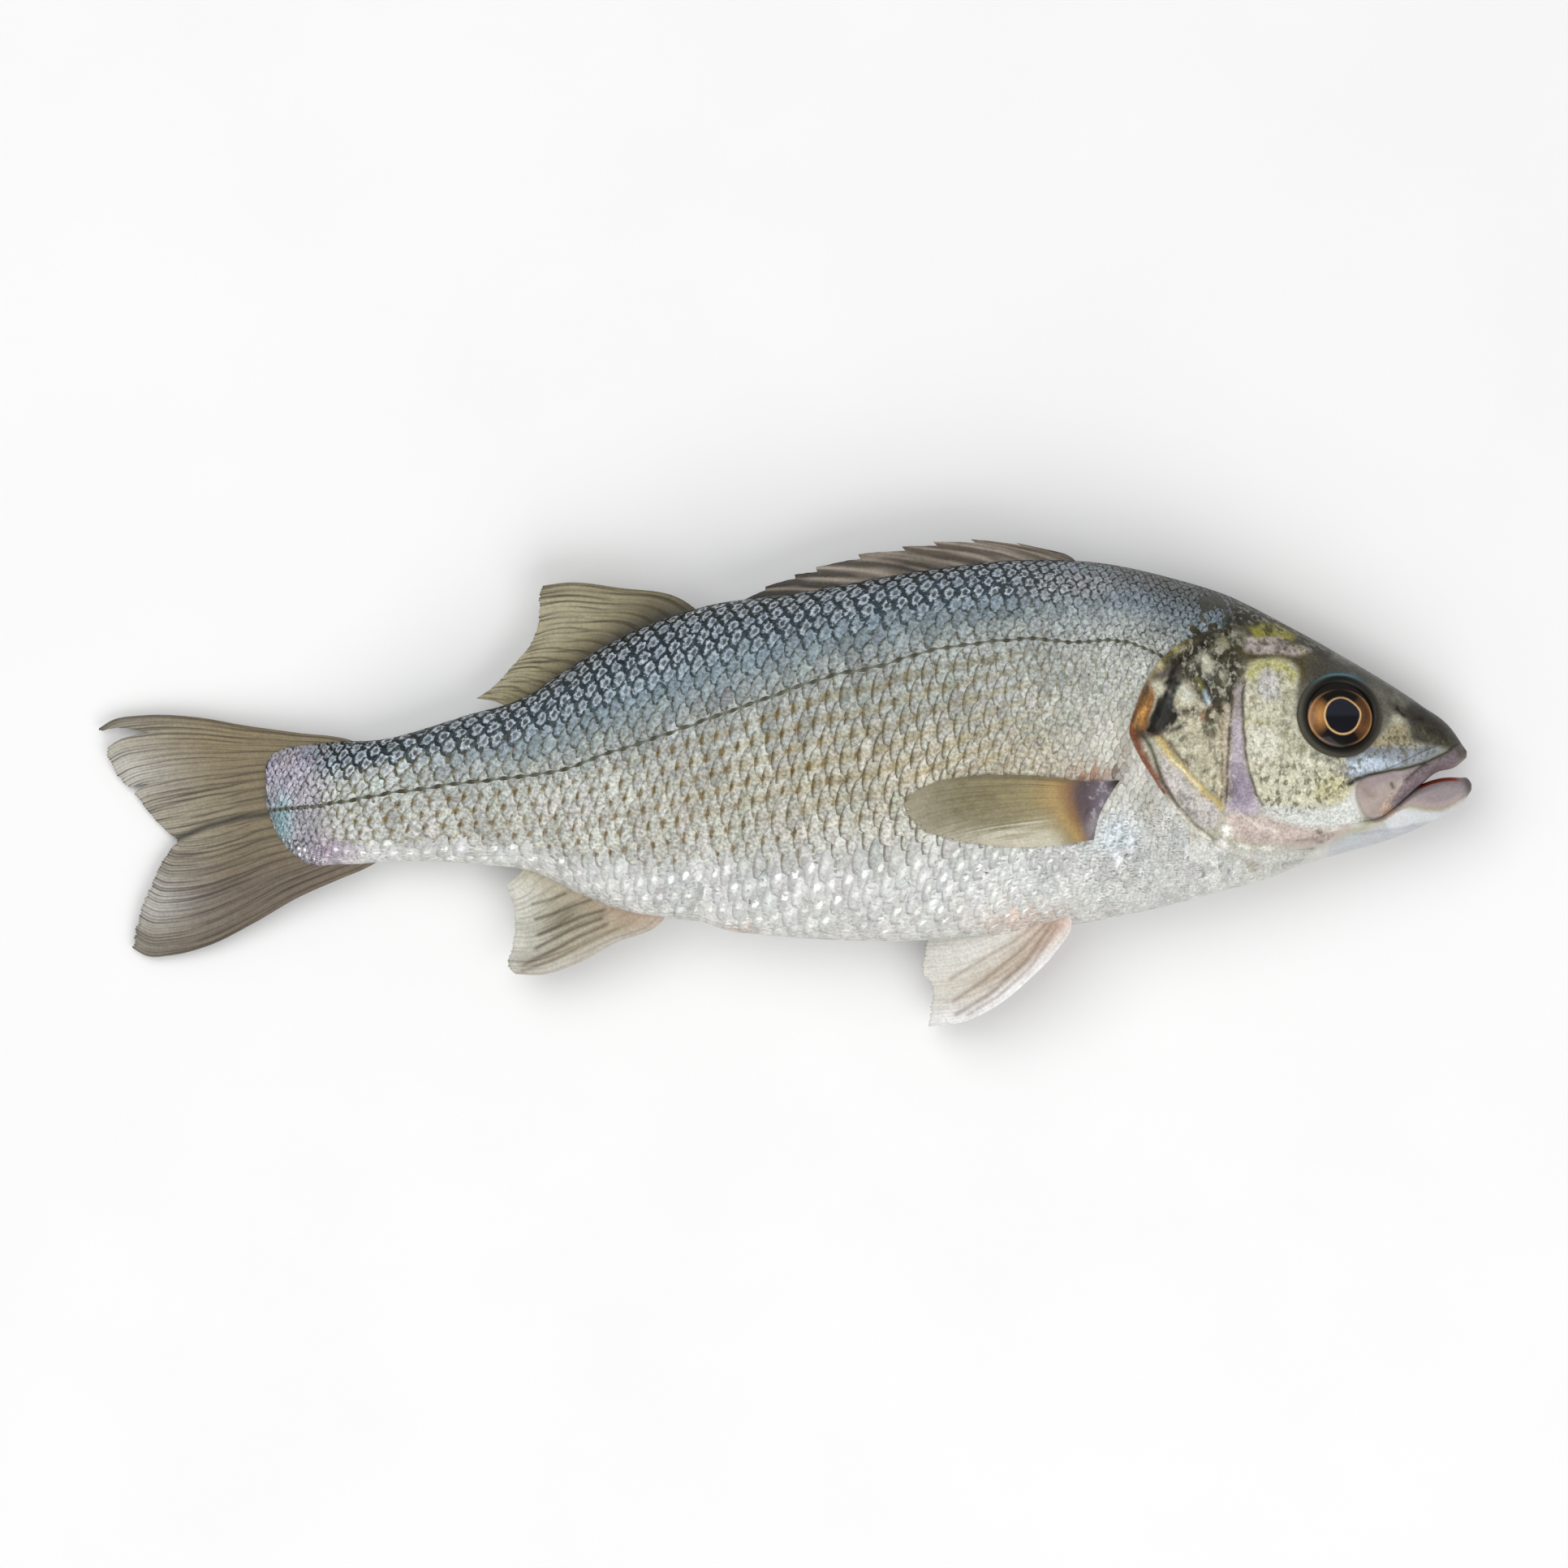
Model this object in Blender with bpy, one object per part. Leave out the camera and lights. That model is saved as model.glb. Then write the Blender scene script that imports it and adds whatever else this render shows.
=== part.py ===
# A whole raw sea fish lying on its left side on a table at Z = 0.
# The head points to +X and the back to +Y, so the right flank faces up.
# Every length below is in millimetres, and make_object turns it into metres.

import math

import bmesh
import bpy
import numpy as np

MM = 0.001

# Side view of the body, from the middle of the fish's box: (x, y), tail first.
BACK = [
    (-113.1, -1.8), (-111.3, 3.0), (-106.9, 6.9), (-99.8, 8.8), (-87.5, 9.5), (-69.8, 14.5),
    (-56.2, 18.8), (-46.0, 25.5), (-33.1, 32.8), (-16.3, 38.6), (1.9, 41.1), (24.3, 45.2),
    (52.5, 48.5), (67.9, 48.0), (85.5, 44.3), (96.1, 41.0), (110.3, 33.9), (124.4, 26.0),
    (138.5, 17.1), (145.6, 11.5), (148.9, 6.5),
]
BELLY = [
    (-113.1, -6.2), (-109.6, -12.4), (-105.1, -15.9), (-96.0, -17.6), (-84.0, -17.0),
    (-66.3, -17.7), (-54.3, -19.4), (-44.6, -24.0), (-35.8, -27.5), (-24.1, -29.5),
    (-16.9, -30.4), (-12.4, -32.0), (-6.3, -32.8), (11.4, -34.1), (32.6, -34.1), (46.7, -33.0),
    (67.9, -30.0), (82.0, -27.0), (96.1, -23.3), (103.2, -21.4), (112.0, -17.8),
]
# The upper jaw's lower edge and the lower jaw, from the throat to the tips of the lips.
UPPER_JAW_EDGE = [
    (112.0, -17.8), (119.0, -13.4), (125.5, -9.4), (130.4, -8.0), (133.0, -5.8),
    (138.5, -0.6), (141.5, 2.0), (146.6, 3.8), (148.9, 5.8),
]
LOWER_JAW_TOP = [
    (105.0, -9.0), (112.0, -9.5), (122.6, -7.1), (130.4, -6.2), (133.0, -4.4), (138.5, -0.4),
    (142.0, 0.9), (147.3, 1.2), (149.1, 0.9), (149.9, -0.4),
]
LOWER_JAW_BOTTOM = [
    (105.0, -20.8), (112.0, -18.2), (120.9, -15.4), (131.4, -12.4), (138.5, -9.6),
    (142.0, -7.8), (145.6, -5.8), (148.2, -3.9), (149.9, -1.2),
]

# Half of the fish's thickness, and the height of its middle plane above the table.
HALF_THICKNESS = [
    (-113.1, 1.0), (-111.0, 2.2), (-104.0, 3.6), (-92.0, 5.6), (-78.0, 7.8), (-60.0, 11.2),
    (-40.0, 14.8), (-20.0, 17.2), (0.0, 19.2), (20.0, 20.2), (42.0, 20.4), (64.0, 19.8),
    (82.0, 18.6), (98.0, 17.0), (112.0, 14.9), (124.0, 12.3), (134.0, 9.7), (141.0, 7.2),
    (146.0, 4.9), (149.0, 2.6), (150.0, 1.2),
]
MIDDLE_HEIGHT = [
    (-150.0, 3.4), (-130.0, 4.6), (-113.0, 6.4), (-92.0, 9.6), (-60.0, 14.2), (-30.0, 17.6),
    (0.0, 18.8), (35.0, 19.4), (70.0, 19.3), (100.0, 18.6), (130.0, 17.6), (150.0, 16.4),
]
SECTION_POWER = 2.25          # 2 gives an ellipse, more gives fuller flanks
WIDEST_ABOVE_MIDDLE = 0.12    # how far the widest point lies above mid height
LIP_ROUNDING = 2.6
BODY_SIDES = 34
JAW_SIDES = 16

# The eye and what lies round it.
EYE_PLACE = (121.1, 15.7)
EYE_RADIUS = 7.6
EYE_BULGE = 1.3
EYE_DEPTH = 4.2
ORBIT_RADIUS = 9.0
ORBIT_WIRE = 0.8
NOSTRIL_PLACE = (133.6, 15.6)
NOSTRIL_RADIUS = 1.0

# Raised plates of the head: the hidden front edge first, then the free rear edge.
GILL_COVER = dict(
    front=[(102.0, 32.0), (101.0, 18.0), (101.5, 4.0), (104.0, -8.0), (112.0, -13.5)],
    rear=[
        (97.0, 33.6), (89.0, 30.2), (82.0, 23.8), (77.4, 15.9), (75.7, 10.6), (78.2, 4.4),
        (82.0, -0.5), (87.3, -7.6), (93.5, -13.2), (101.4, -17.2), (112.0, -16.8),
    ],
    columns=22, rows=3, rise=1.1,
)
CHEEK_PLATE = dict(
    front=[(112.5, 27.2), (110.5, 16.0), (111.5, 4.0), (118.0, -4.0), (126.0, -5.6)],
    rear=[
        (106.7, 26.5), (102.3, 25.2), (99.7, 20.3), (99.3, 11.5), (100.6, 2.6), (102.7, -3.5),
        (107.1, -6.7), (115.6, -9.4), (125.0, -8.6),
    ],
    columns=18, rows=2, rise=0.6,
)
JAW_PLATE = dict(
    front=[(146.4, 7.6), (140.0, 3.6), (135.0, 0.2), (131.0, -2.6)],
    rear=[
        (145.4, 9.6), (138.0, 6.4), (130.0, 2.6), (123.4, 0.2), (123.6, -5.0), (127.0, -7.4),
        (130.2, -7.0),
    ],
    columns=14, rows=2, rise=0.7,
)
PLATE_ROOT = 1.2              # how far a plate's inner face lies under the skin

# Fins: each is a patch between a base curve sunk in the body, an outer edge,
# a leading side and a trailing side, all in the side view.
TAIL_FIN = dict(
    base=[(-87.5, 6.2), (-97.0, 4.6), (-104.0, 0.0), (-105.0, -6.0), (-99.0, -11.5), (-84.0, -14.2)],
    edge=[
        (-150.0, 11.7), (-148.6, 8.5), (-147.9, 5.3), (-144.0, -0.5), (-141.7, -3.0),
        (-134.6, -10.9), (-132.5, -12.6), (-134.1, -14.3), (-136.9, -19.2), (-141.2, -29.5),
        (-142.6, -35.8),
    ],
    leading=[
        (-87.5, 6.2), (-94.5, 9.4), (-106.2, 11.0), (-118.2, 12.7), (-127.4, 14.3),
        (-140.1, 14.8), (-146.6, 13.8), (-150.0, 11.7),
    ],
    trailing=[
        (-84.0, -14.2), (-91.0, -18.5), (-96.5, -20.8), (-106.2, -25.1), (-115.9, -30.7),
        (-125.6, -35.5), (-133.8, -37.6), (-139.0, -37.8), (-142.6, -35.8),
    ],
    columns=36, rows=8, root=2.6, rim=0.7, ridge=0.26, sag=1.6, wave=0.7, waves=1.5,
    notches=[(2 / 36, 0.15), (10 / 36, 0.11)],
)
SPINY_DORSAL_FIN = dict(
    base=[(66.5, 44.0), (52.0, 44.6), (24.0, 41.6), (2.0, 37.6), (-9.5, 35.6)],
    edge=[
        (57.0, 51.0), (50.3, 52.4), (39.1, 53.1), (26.2, 51.7), (16.6, 50.0), (7.5, 47.2),
        (-4.2, 42.7), (-9.3, 39.7),
    ],
    leading=[(66.5, 44.0), (62.5, 49.2), (57.0, 51.0)],
    trailing=[(-9.5, 35.6), (-9.5, 38.0), (-9.3, 39.7)],
    columns=36, rows=4, root=2.2, rim=0.8, ridge=0.3, sag=0.6, wave=0.3, waves=2.0,
    steps=9,
)
SOFT_DORSAL_FIN = dict(
    base=[(-15.0, 34.5), (-33.0, 29.0), (-45.0, 22.0), (-57.0, 14.5)],
    edge=[
        (-52.8, 43.0), (-53.5, 41.0), (-53.4, 37.0), (-54.6, 31.7), (-59.5, 25.2),
        (-64.0, 20.5), (-67.1, 18.5),
    ],
    leading=[(-15.0, 34.5), (-23.0, 40.4), (-35.6, 42.5), (-47.2, 43.7), (-52.8, 43.0)],
    trailing=[(-57.0, 14.5), (-62.5, 17.7), (-67.1, 18.5)],
    columns=24, rows=6, root=2.2, rim=0.7, ridge=0.24, sag=3.2, wave=0.6, waves=1.5,
)
ANAL_FIN = dict(
    base=[(-23.0, -25.5), (-33.0, -24.2), (-44.0, -20.0), (-54.0, -15.5)],
    edge=[
        (-58.8, -41.6), (-60.3, -40.0), (-59.4, -36.0), (-58.7, -31.0), (-59.1, -26.0),
        (-60.6, -22.6),
    ],
    leading=[(-23.0, -25.5), (-28.0, -31.4), (-35.6, -34.3), (-46.0, -39.7), (-52.4, -41.7), (-58.8, -41.6)],
    trailing=[(-54.0, -15.5), (-57.5, -19.8), (-60.6, -22.6)],
    columns=20, rows=6, root=2.2, rim=0.7, ridge=0.24, sag=3.0, wave=0.5, waves=1.0,
)
PELVIC_FIN = dict(
    base=[(62.0, -27.0), (59.5, -26.0), (57.0, -25.0)],
    edge=[
        (31.2, -53.1), (31.8, -49.6), (32.1, -44.3), (30.0, -41.2), (30.6, -37.0), (31.5, -32.2),
    ],
    leading=[
        (62.0, -27.0), (62.6, -31.0), (59.4, -36.4), (53.2, -42.9), (46.1, -48.6),
        (39.1, -52.0), (31.2, -53.1),
    ],
    trailing=[(57.0, -25.0), (49.0, -29.0), (41.0, -31.5), (31.5, -32.2)],
    columns=12, rows=7, root=2.4, rim=0.7, ridge=0.22, sag=0.0, wave=0.4, waves=1.0,
)
PELVIC_SPREAD = 5.0           # each pelvic fin's distance from the middle plane at its root
PELVIC_DROOP = 0.55           # share of its height that a pelvic fin loses by its tip
PECTORAL_FIN = dict(
    base=[(72.2, 0.6), (70.6, -5.5), (67.6, -12.4)],
    edge=[
        (28.0, -2.0), (25.6, -4.4), (26.2, -8.0), (30.5, -11.0), (39.0, -13.0), (48.0, -14.0),
    ],
    leading=[
        (72.2, 0.6), (65.2, 0.4), (58.0, 1.3), (48.7, 1.8), (39.1, 1.4), (32.6, 0.0), (28.0, -2.0),
    ],
    trailing=[(67.6, -12.4), (58.0, -13.6), (48.0, -14.0)],
    columns=14, rows=7, root=1.5, rim=0.8,
)
PECTORAL_SINK = 0.45          # how far the pectoral fin's inner face lies under the skin
PRESSED_CLEARANCE = 0.06      # what is pressed against the table stays this far above it

SKIN_COLOUR = (0.42, 0.43, 0.40, 1.0)


# A smooth curve through the points: cubic pieces whose slopes come from the neighbours.
def smooth(points, at):
    points = np.asarray(points, float)
    places, values = points[:, 0], points[:, 1]
    return hermite(places, values, np.asarray(at, float))


def hermite(places, values, at):
    slopes = np.gradient(values, places, axis=0)
    low = np.clip(np.searchsorted(places, at, side="right") - 1, 0, len(places) - 2)
    step = places[low + 1] - places[low]
    part = np.clip((at - places[low]) / step, 0.0, 1.0)
    if values.ndim == 2:
        step = step[:, None]
        part = part[:, None]
    return (
        (1 + 2 * part) * (1 - part) ** 2 * values[low]
        + part * (1 - part) ** 2 * step * slopes[low]
        + part ** 2 * (3 - 2 * part) * values[low + 1]
        + part ** 2 * (part - 1) * step * slopes[low + 1]
    )


# The points at the given shares of an outline's length, one row for each share.
def along(points, shares):
    points = np.asarray(points, float)
    lengths = np.r_[0.0, np.cumsum(np.hypot(*np.diff(points, axis=0).T))]
    return hermite(lengths / lengths[-1], points, np.asarray(shares, float))


# Lower outline of the whole head and body, with the mouth shut into it.
def whole_bottom(x):
    return np.where(x < 108.0, smooth(BELLY, x), smooth(LOWER_JAW_BOTTOM, x))


# Half thickness at a place of the side view: a full oval whose widest point is above the middle.
def half_thickness(x, y):
    top = smooth(BACK, np.minimum(x, BACK[-1][0] - 1.0))
    bottom = whole_bottom(x)
    share = np.clip((2 * y - top - bottom) / (top - bottom), -1.0, 1.0)
    share = share - WIDEST_ABOVE_MIDDLE * (1 - share ** 2)
    return smooth(HALF_THICKNESS, x) * np.sqrt(1 - np.abs(share) ** SECTION_POWER)


def middle_height(x):
    return smooth(MIDDLE_HEIGHT, x)


def make_object(name, points, faces, collection):
    mesh = bpy.data.meshes.new(name)
    mesh.from_pydata((np.asarray(points) * MM).tolist(), [], faces)
    shape = bmesh.new()
    shape.from_mesh(mesh)
    bmesh.ops.triangulate(shape, faces=shape.faces)
    bmesh.ops.recalc_face_normals(shape, faces=shape.faces)
    shape.to_mesh(mesh)
    shape.free()
    made = bpy.data.objects.new(name, mesh)
    collection.objects.link(made)
    return made


# Skins a row of rings and closes both ends with one face each.
def loft(name, rings, collection):
    stations, sides, _ = rings.shape
    index = np.arange(stations * sides).reshape(stations, sides)
    after = np.roll(index, -1, axis=1)
    walls = np.stack([index[:-1], after[:-1], after[1:], index[1:]], axis=-1)
    faces = walls.reshape(-1, 4).tolist()
    faces += [index[0][::-1].tolist(), index[-1].tolist()]
    return make_object(name, rings.reshape(-1, 3), faces, collection)


# Closes two like grids into a thin plate, with both faces split alike.
def plate(name, upper, lower, collection):
    rows, columns, _ = upper.shape
    index = np.arange(rows * columns).reshape(rows, columns)
    faces = np.stack([index[:-1, :-1], index[1:, :-1], index[1:, 1:], index[:-1, 1:]], axis=-1)
    faces = faces.reshape(-1, 4)
    corners = np.concatenate([faces[:, [0, 1, 2]], faces[:, [0, 2, 3]]])
    below = corners[:, ::-1] + rows * columns
    rim = np.r_[index[0, :-1], index[:-1, -1], index[-1, :0:-1], index[:0:-1, 0]]
    onward = np.roll(rim, -1)
    wall = np.stack([rim, onward, onward + rows * columns, rim + rows * columns], axis=-1)
    faces = corners.tolist() + below.tolist() + wall.tolist()
    points = np.concatenate([upper.reshape(-1, 3), lower.reshape(-1, 3)])
    return make_object(name, points, faces, collection)


# Rings of the body or jaw: angle runs round the section, and an open lip is rounded off.
def section_rings(stations, top, bottom, sides, lip_above, lip_below):
    angle = np.linspace(0.0, 2 * math.pi, sides, endpoint=False)
    x = np.repeat(stations[:, None], sides, axis=1)
    height = np.sin(angle)[None, :]
    y = (top + bottom)[:, None] / 2 + (top - bottom)[:, None] / 2 * height
    half = half_thickness(x, np.clip(y, whole_bottom(x) + 0.02, None))
    above = np.clip((top[:, None] - y) / lip_above[:, None], 0.0, 1.0)
    below = np.clip((y - bottom[:, None]) / lip_below[:, None], 0.0, 1.0)
    half = half * np.sqrt(1 - (1 - above) ** 2) * np.sqrt(1 - (1 - below) ** 2)
    z = middle_height(x) + np.where(np.cos(angle) >= 0, 1.0, -1.0)[None, :] * half
    return np.stack([x, y, np.maximum(z, 0.0)], axis=-1)


def body(collection):
    tail = np.linspace(-113.0, -104.0, 6)
    trunk = np.linspace(-101.0, 98.0, 30)
    head = np.linspace(103.0, 144.0, 11)
    snout = np.array([146.0, 147.6, 148.6])
    stations = np.concatenate([tail, trunk, head, snout])
    top = smooth(BACK, stations)
    bottom = np.where(stations < 112.0, smooth(BELLY, stations), smooth(UPPER_JAW_EDGE, stations))
    open_lip = np.clip((bottom - whole_bottom(stations)) * 0.6, 0.01, LIP_ROUNDING)
    return loft("body", section_rings(stations, top, bottom, BODY_SIDES, np.full_like(top, 0.01), open_lip), collection)


def lower_jaw(collection):
    stations = np.concatenate([np.linspace(106.0, 145.0, 12), [147.0, 148.6, 149.5, 149.95]])
    top = smooth(LOWER_JAW_TOP, stations)
    bottom = smooth(LOWER_JAW_BOTTOM, stations)
    lip = np.clip((top - bottom) * 0.4, 0.1, LIP_ROUNDING)
    return loft("lower_jaw", section_rings(stations, top, bottom, JAW_SIDES, lip, np.full_like(top, 0.01)), collection)


# A grid between four side-view curves, each side's pull fading towards the other side.
def patch(curves, columns, rows):
    u = np.linspace(0.0, 1.0, columns + 1)
    v = np.linspace(0.0, 1.0, rows + 1)
    base, edge = along(curves["base"], u), along(curves["edge"], u)
    leading, trailing = along(curves["leading"], v), along(curves["trailing"], v)
    across = u[None, :, None]
    reach = np.repeat(v[:, None], columns + 1, axis=1)
    for place, depth in curves.get("notches", []):
        reach = reach * (1 - depth * np.clip(1 - np.abs(u - place) * columns, 0, 1))[None, :]
    if "steps" in curves:
        saw = (u * curves["steps"]) % 1.0
        reach = reach * (1 - 0.22 * saw * np.sin(math.pi * u) ** 0.5)[None, :]
    side_shares = reach.reshape(-1)
    first = along(curves["leading"], side_shares).reshape(rows + 1, columns + 1, 2)
    last = along(curves["trailing"], side_shares).reshape(rows + 1, columns + 1, 2)
    out = reach[:, :, None]
    corners = (
        (1 - across) * (1 - out) * base[0]
        + across * (1 - out) * base[-1]
        + (1 - across) * out * edge[0]
        + across * out * edge[-1]
    )
    ruled = (1 - out) * base[None] + out * edge[None]
    flat = ruled + (1 - across) * first + across * last - corners
    return flat, across[..., 0] + 0 * reach, reach


# A thin rayed fin whose middle surface follows the middle plane, sags and waves.
def fin(name, shape, collection, side=0):
    flat, across, out = patch(shape, shape["columns"], shape["rows"])
    x, y = flat[..., 0], flat[..., 1]
    ripple = shape["wave"] * out * np.sin(2 * math.pi * shape["waves"] * across + 0.6)
    if side:
        root = middle_height(x) + side * PELVIC_SPREAD
        middle = root * (1 - PELVIC_DROOP * out ** 1.3) + (1 + side) * 1.2 * out + ripple
    else:
        middle = middle_height(x) - shape["sag"] * out ** 1.6 + ripple
    thick = shape["root"] + (shape["rim"] - shape["root"]) * np.sqrt(out)
    ridged = np.where(np.arange(shape["columns"] + 1) % 2 == 0, 1.0, -1.0)[None, :] * shape["ridge"]
    half = thick / 2 + ridged * np.clip(out * 4, 0, 1) * np.clip((1.15 - out) * 2, 0.3, 1) / 2
    middle = np.maximum(middle, half + 0.4)
    upper = np.stack([x, y, middle + half], axis=-1)
    lower = np.stack([x, y, middle - half], axis=-1)
    return plate(name, upper, lower, collection)


# A pectoral fin lies flat on its flank, with its inner face just under the skin.
def pectoral_fin(name, side, collection):
    shape = PECTORAL_FIN
    flat, across, out = patch(shape, shape["columns"], shape["rows"])
    x, y = flat[..., 0], flat[..., 1]
    skin = half_thickness(x, y)
    thick = shape["root"] + (shape["rim"] - shape["root"]) * out
    ridged = np.where(np.arange(shape["columns"] + 1) % 2 == 0, 0.12, -0.12)[None, :] * np.clip(out * 3, 0, 1)
    rise = thick * np.sqrt(np.clip(out * 8, 0, 1)) - 0.1 + ridged
    outer = middle_height(x) + side * (skin + rise)
    inner = middle_height(x) + side * (skin - PECTORAL_SINK)
    outer = np.maximum(outer, PRESSED_CLEARANCE)
    inner = np.maximum(inner, PRESSED_CLEARANCE + PECTORAL_SINK)
    grids = [np.stack([x, y, height], axis=-1) for height in (outer, inner)]
    return plate(name, *(grids if side > 0 else grids[::-1]), collection)


# A raised plate of the head: its front is sunk in the skin and its rear edge stands free.
def head_plate(name, shape, side, collection):
    curves = dict(
        base=shape["front"], edge=shape["rear"],
        leading=[shape["front"][0], shape["rear"][0]],
        trailing=[shape["front"][-1], shape["rear"][-1]],
    )
    flat, across, out = patch(curves, shape["columns"], shape["rows"])
    x, y = flat[..., 0], flat[..., 1]
    skin = half_thickness(x, y)
    fade = np.clip(np.sin(math.pi * across) * 3, 0, 1)
    rise = -0.3 + (shape["rise"] + 0.3) * out ** 0.7 * fade
    outer = np.maximum(middle_height(x) + side * (skin + rise), PRESSED_CLEARANCE)
    inner = np.maximum(middle_height(x) + side * (skin - PLATE_ROOT), PRESSED_CLEARANCE + PLATE_ROOT)
    grids = [np.stack([x, y, height], axis=-1) for height in (outer, inner)]
    return plate(name, *(grids if side > 0 else grids[::-1]), collection)


def move_to(made, collection):
    for old in list(made.users_collection):
        old.objects.unlink(made)
    collection.objects.link(made)
    return made


def flank_point(place, side, rise):
    x, y = place
    skin = float(half_thickness(np.array([x]), np.array([y]))[0])
    height = float(middle_height(np.array([x]))[0])
    return (x * MM, y * MM, (height + side * (skin + rise)) * MM)


# The side of the head slopes, so what sits on it is turned to the same slope.
def flank_tilt(place, side):
    x, y = place
    gap = 4.0
    ahead = half_thickness(np.array([x - gap, x + gap]), np.array([y, y]))
    up = half_thickness(np.array([x, x]), np.array([y - gap, y + gap]))
    along_slope = math.atan2(side * float(ahead[1] - ahead[0]), 2 * gap)
    up_slope = math.atan2(side * float(up[1] - up[0]), 2 * gap)
    return (up_slope, -along_slope, 0.0)


def eye(name, side, collection):
    bpy.ops.mesh.primitive_uv_sphere_add(
        segments=20, ring_count=10, radius=EYE_RADIUS * MM,
        location=flank_point(EYE_PLACE, side, EYE_BULGE - EYE_DEPTH),
        rotation=flank_tilt(EYE_PLACE, side),
    )
    ball = bpy.context.object
    ball.name = name
    ball.scale.z = EYE_DEPTH / EYE_RADIUS
    return move_to(ball, collection)


def orbit(name, side, collection):
    bpy.ops.mesh.primitive_torus_add(
        major_segments=22, minor_segments=6, major_radius=ORBIT_RADIUS * MM,
        minor_radius=ORBIT_WIRE * MM, location=flank_point(EYE_PLACE, side, -0.3),
        rotation=flank_tilt(EYE_PLACE, side),
    )
    ring = bpy.context.object
    ring.name = name
    return move_to(ring, collection)


def nostril(name, side, collection):
    bpy.ops.mesh.primitive_cone_add(
        vertices=12, radius1=NOSTRIL_RADIUS * 0.5 * MM, radius2=NOSTRIL_RADIUS * MM,
        depth=3.0 * MM, location=flank_point(NOSTRIL_PLACE, side, 0.2),
        rotation=(0.0 if side > 0 else math.pi, 0.0, 0.0),
    )
    hole = bpy.context.object
    hole.name = name
    return move_to(hole, collection)


def apply_boolean(target, operation, collection, solver):
    joined = target.modifiers.new(operation.lower(), "BOOLEAN")
    joined.operation = operation
    joined.operand_type = "COLLECTION"
    joined.collection = collection
    joined.solver = solver
    bpy.context.view_layer.update()
    graph = bpy.context.evaluated_depsgraph_get()
    mesh = bpy.data.meshes.new_from_object(target.evaluated_get(graph))
    target.modifiers.clear()
    target.data = mesh
    for used in list(collection.objects):
        bpy.data.objects.remove(used, do_unlink=True)


# Drops loose scraps, such as the inside of a hollow that fusing seals.
def keep_largest_shell(target):
    shape = bmesh.new()
    shape.from_mesh(target.data)
    bmesh.ops.remove_doubles(shape, verts=shape.verts, dist=0.00001)
    waiting = set(shape.verts)
    shells = []
    while waiting:
        front = [waiting.pop()]
        shell = set(front)
        while front:
            corner = front.pop()
            for edge in corner.link_edges:
                other = edge.other_vert(corner)
                if other in waiting:
                    waiting.remove(other)
                    shell.add(other)
                    front.append(other)
        shells.append(shell)
    shells.sort(key=len, reverse=True)
    for shell in shells[1:]:
        bmesh.ops.delete(shape, geom=list(shell), context="VERTS")
    bmesh.ops.dissolve_degenerate(shape, edges=shape.edges, dist=0.00001)
    bmesh.ops.triangulate(shape, faces=shape.faces)
    shape.to_mesh(target.data)
    shape.free()


def skin_material():
    material = bpy.data.materials.new("fish_skin")
    material.use_nodes = True
    shader = material.node_tree.nodes["Principled BSDF"]
    shader.inputs["Base Color"].default_value = SKIN_COLOUR
    shader.inputs["Roughness"].default_value = 0.38
    shader.inputs["Metallic"].default_value = 0.0
    return material


def main():
    for old in list(bpy.data.objects):
        bpy.data.objects.remove(old, do_unlink=True)
    parts = bpy.data.collections.new("whole_raw_fish")
    joined = bpy.data.collections.new("joined_pieces")
    cutters = bpy.data.collections.new("cutters")
    for collection in (parts, joined, cutters):
        bpy.context.scene.collection.children.link(collection)
    fish = body(parts)
    fish.name = "fish"
    lower_jaw(joined)
    fin("tail_fin", TAIL_FIN, joined)
    fin("spiny_dorsal_fin", SPINY_DORSAL_FIN, joined)
    fin("soft_dorsal_fin", SOFT_DORSAL_FIN, joined)
    fin("anal_fin", ANAL_FIN, joined)
    for word, side in (("right", 1), ("left", -1)):
        fin(f"pelvic_fin_{word}", PELVIC_FIN, joined, side)
        pectoral_fin(f"pectoral_fin_{word}", side, joined)
        head_plate(f"gill_cover_{word}", GILL_COVER, side, joined)
        head_plate(f"cheek_plate_{word}", CHEEK_PLATE, side, joined)
        head_plate(f"jaw_plate_{word}", JAW_PLATE, side, joined)
        eye(f"eye_{word}", side, joined)
        orbit(f"orbit_{word}", side, joined)
        hole = nostril(f"nostril_{word}", side, cutters)
        hole.hide_render = True
        hole.display_type = "WIRE"
    apply_boolean(fish, "UNION", joined, "EXACT")
    apply_boolean(fish, "DIFFERENCE", cutters, "EXACT")
    keep_largest_shell(fish)
    fish.data.materials.clear()
    fish.data.materials.append(skin_material())


main()
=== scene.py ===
# Looks of a whole raw sea fish that lies on its left side on a pale table.
# x runs from the tail to the head, y from the belly to the back, z up out of the right flank.
# Lengths are in millimetres from the middle of the fish's box; addPiece turns them into metres.

import math

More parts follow.
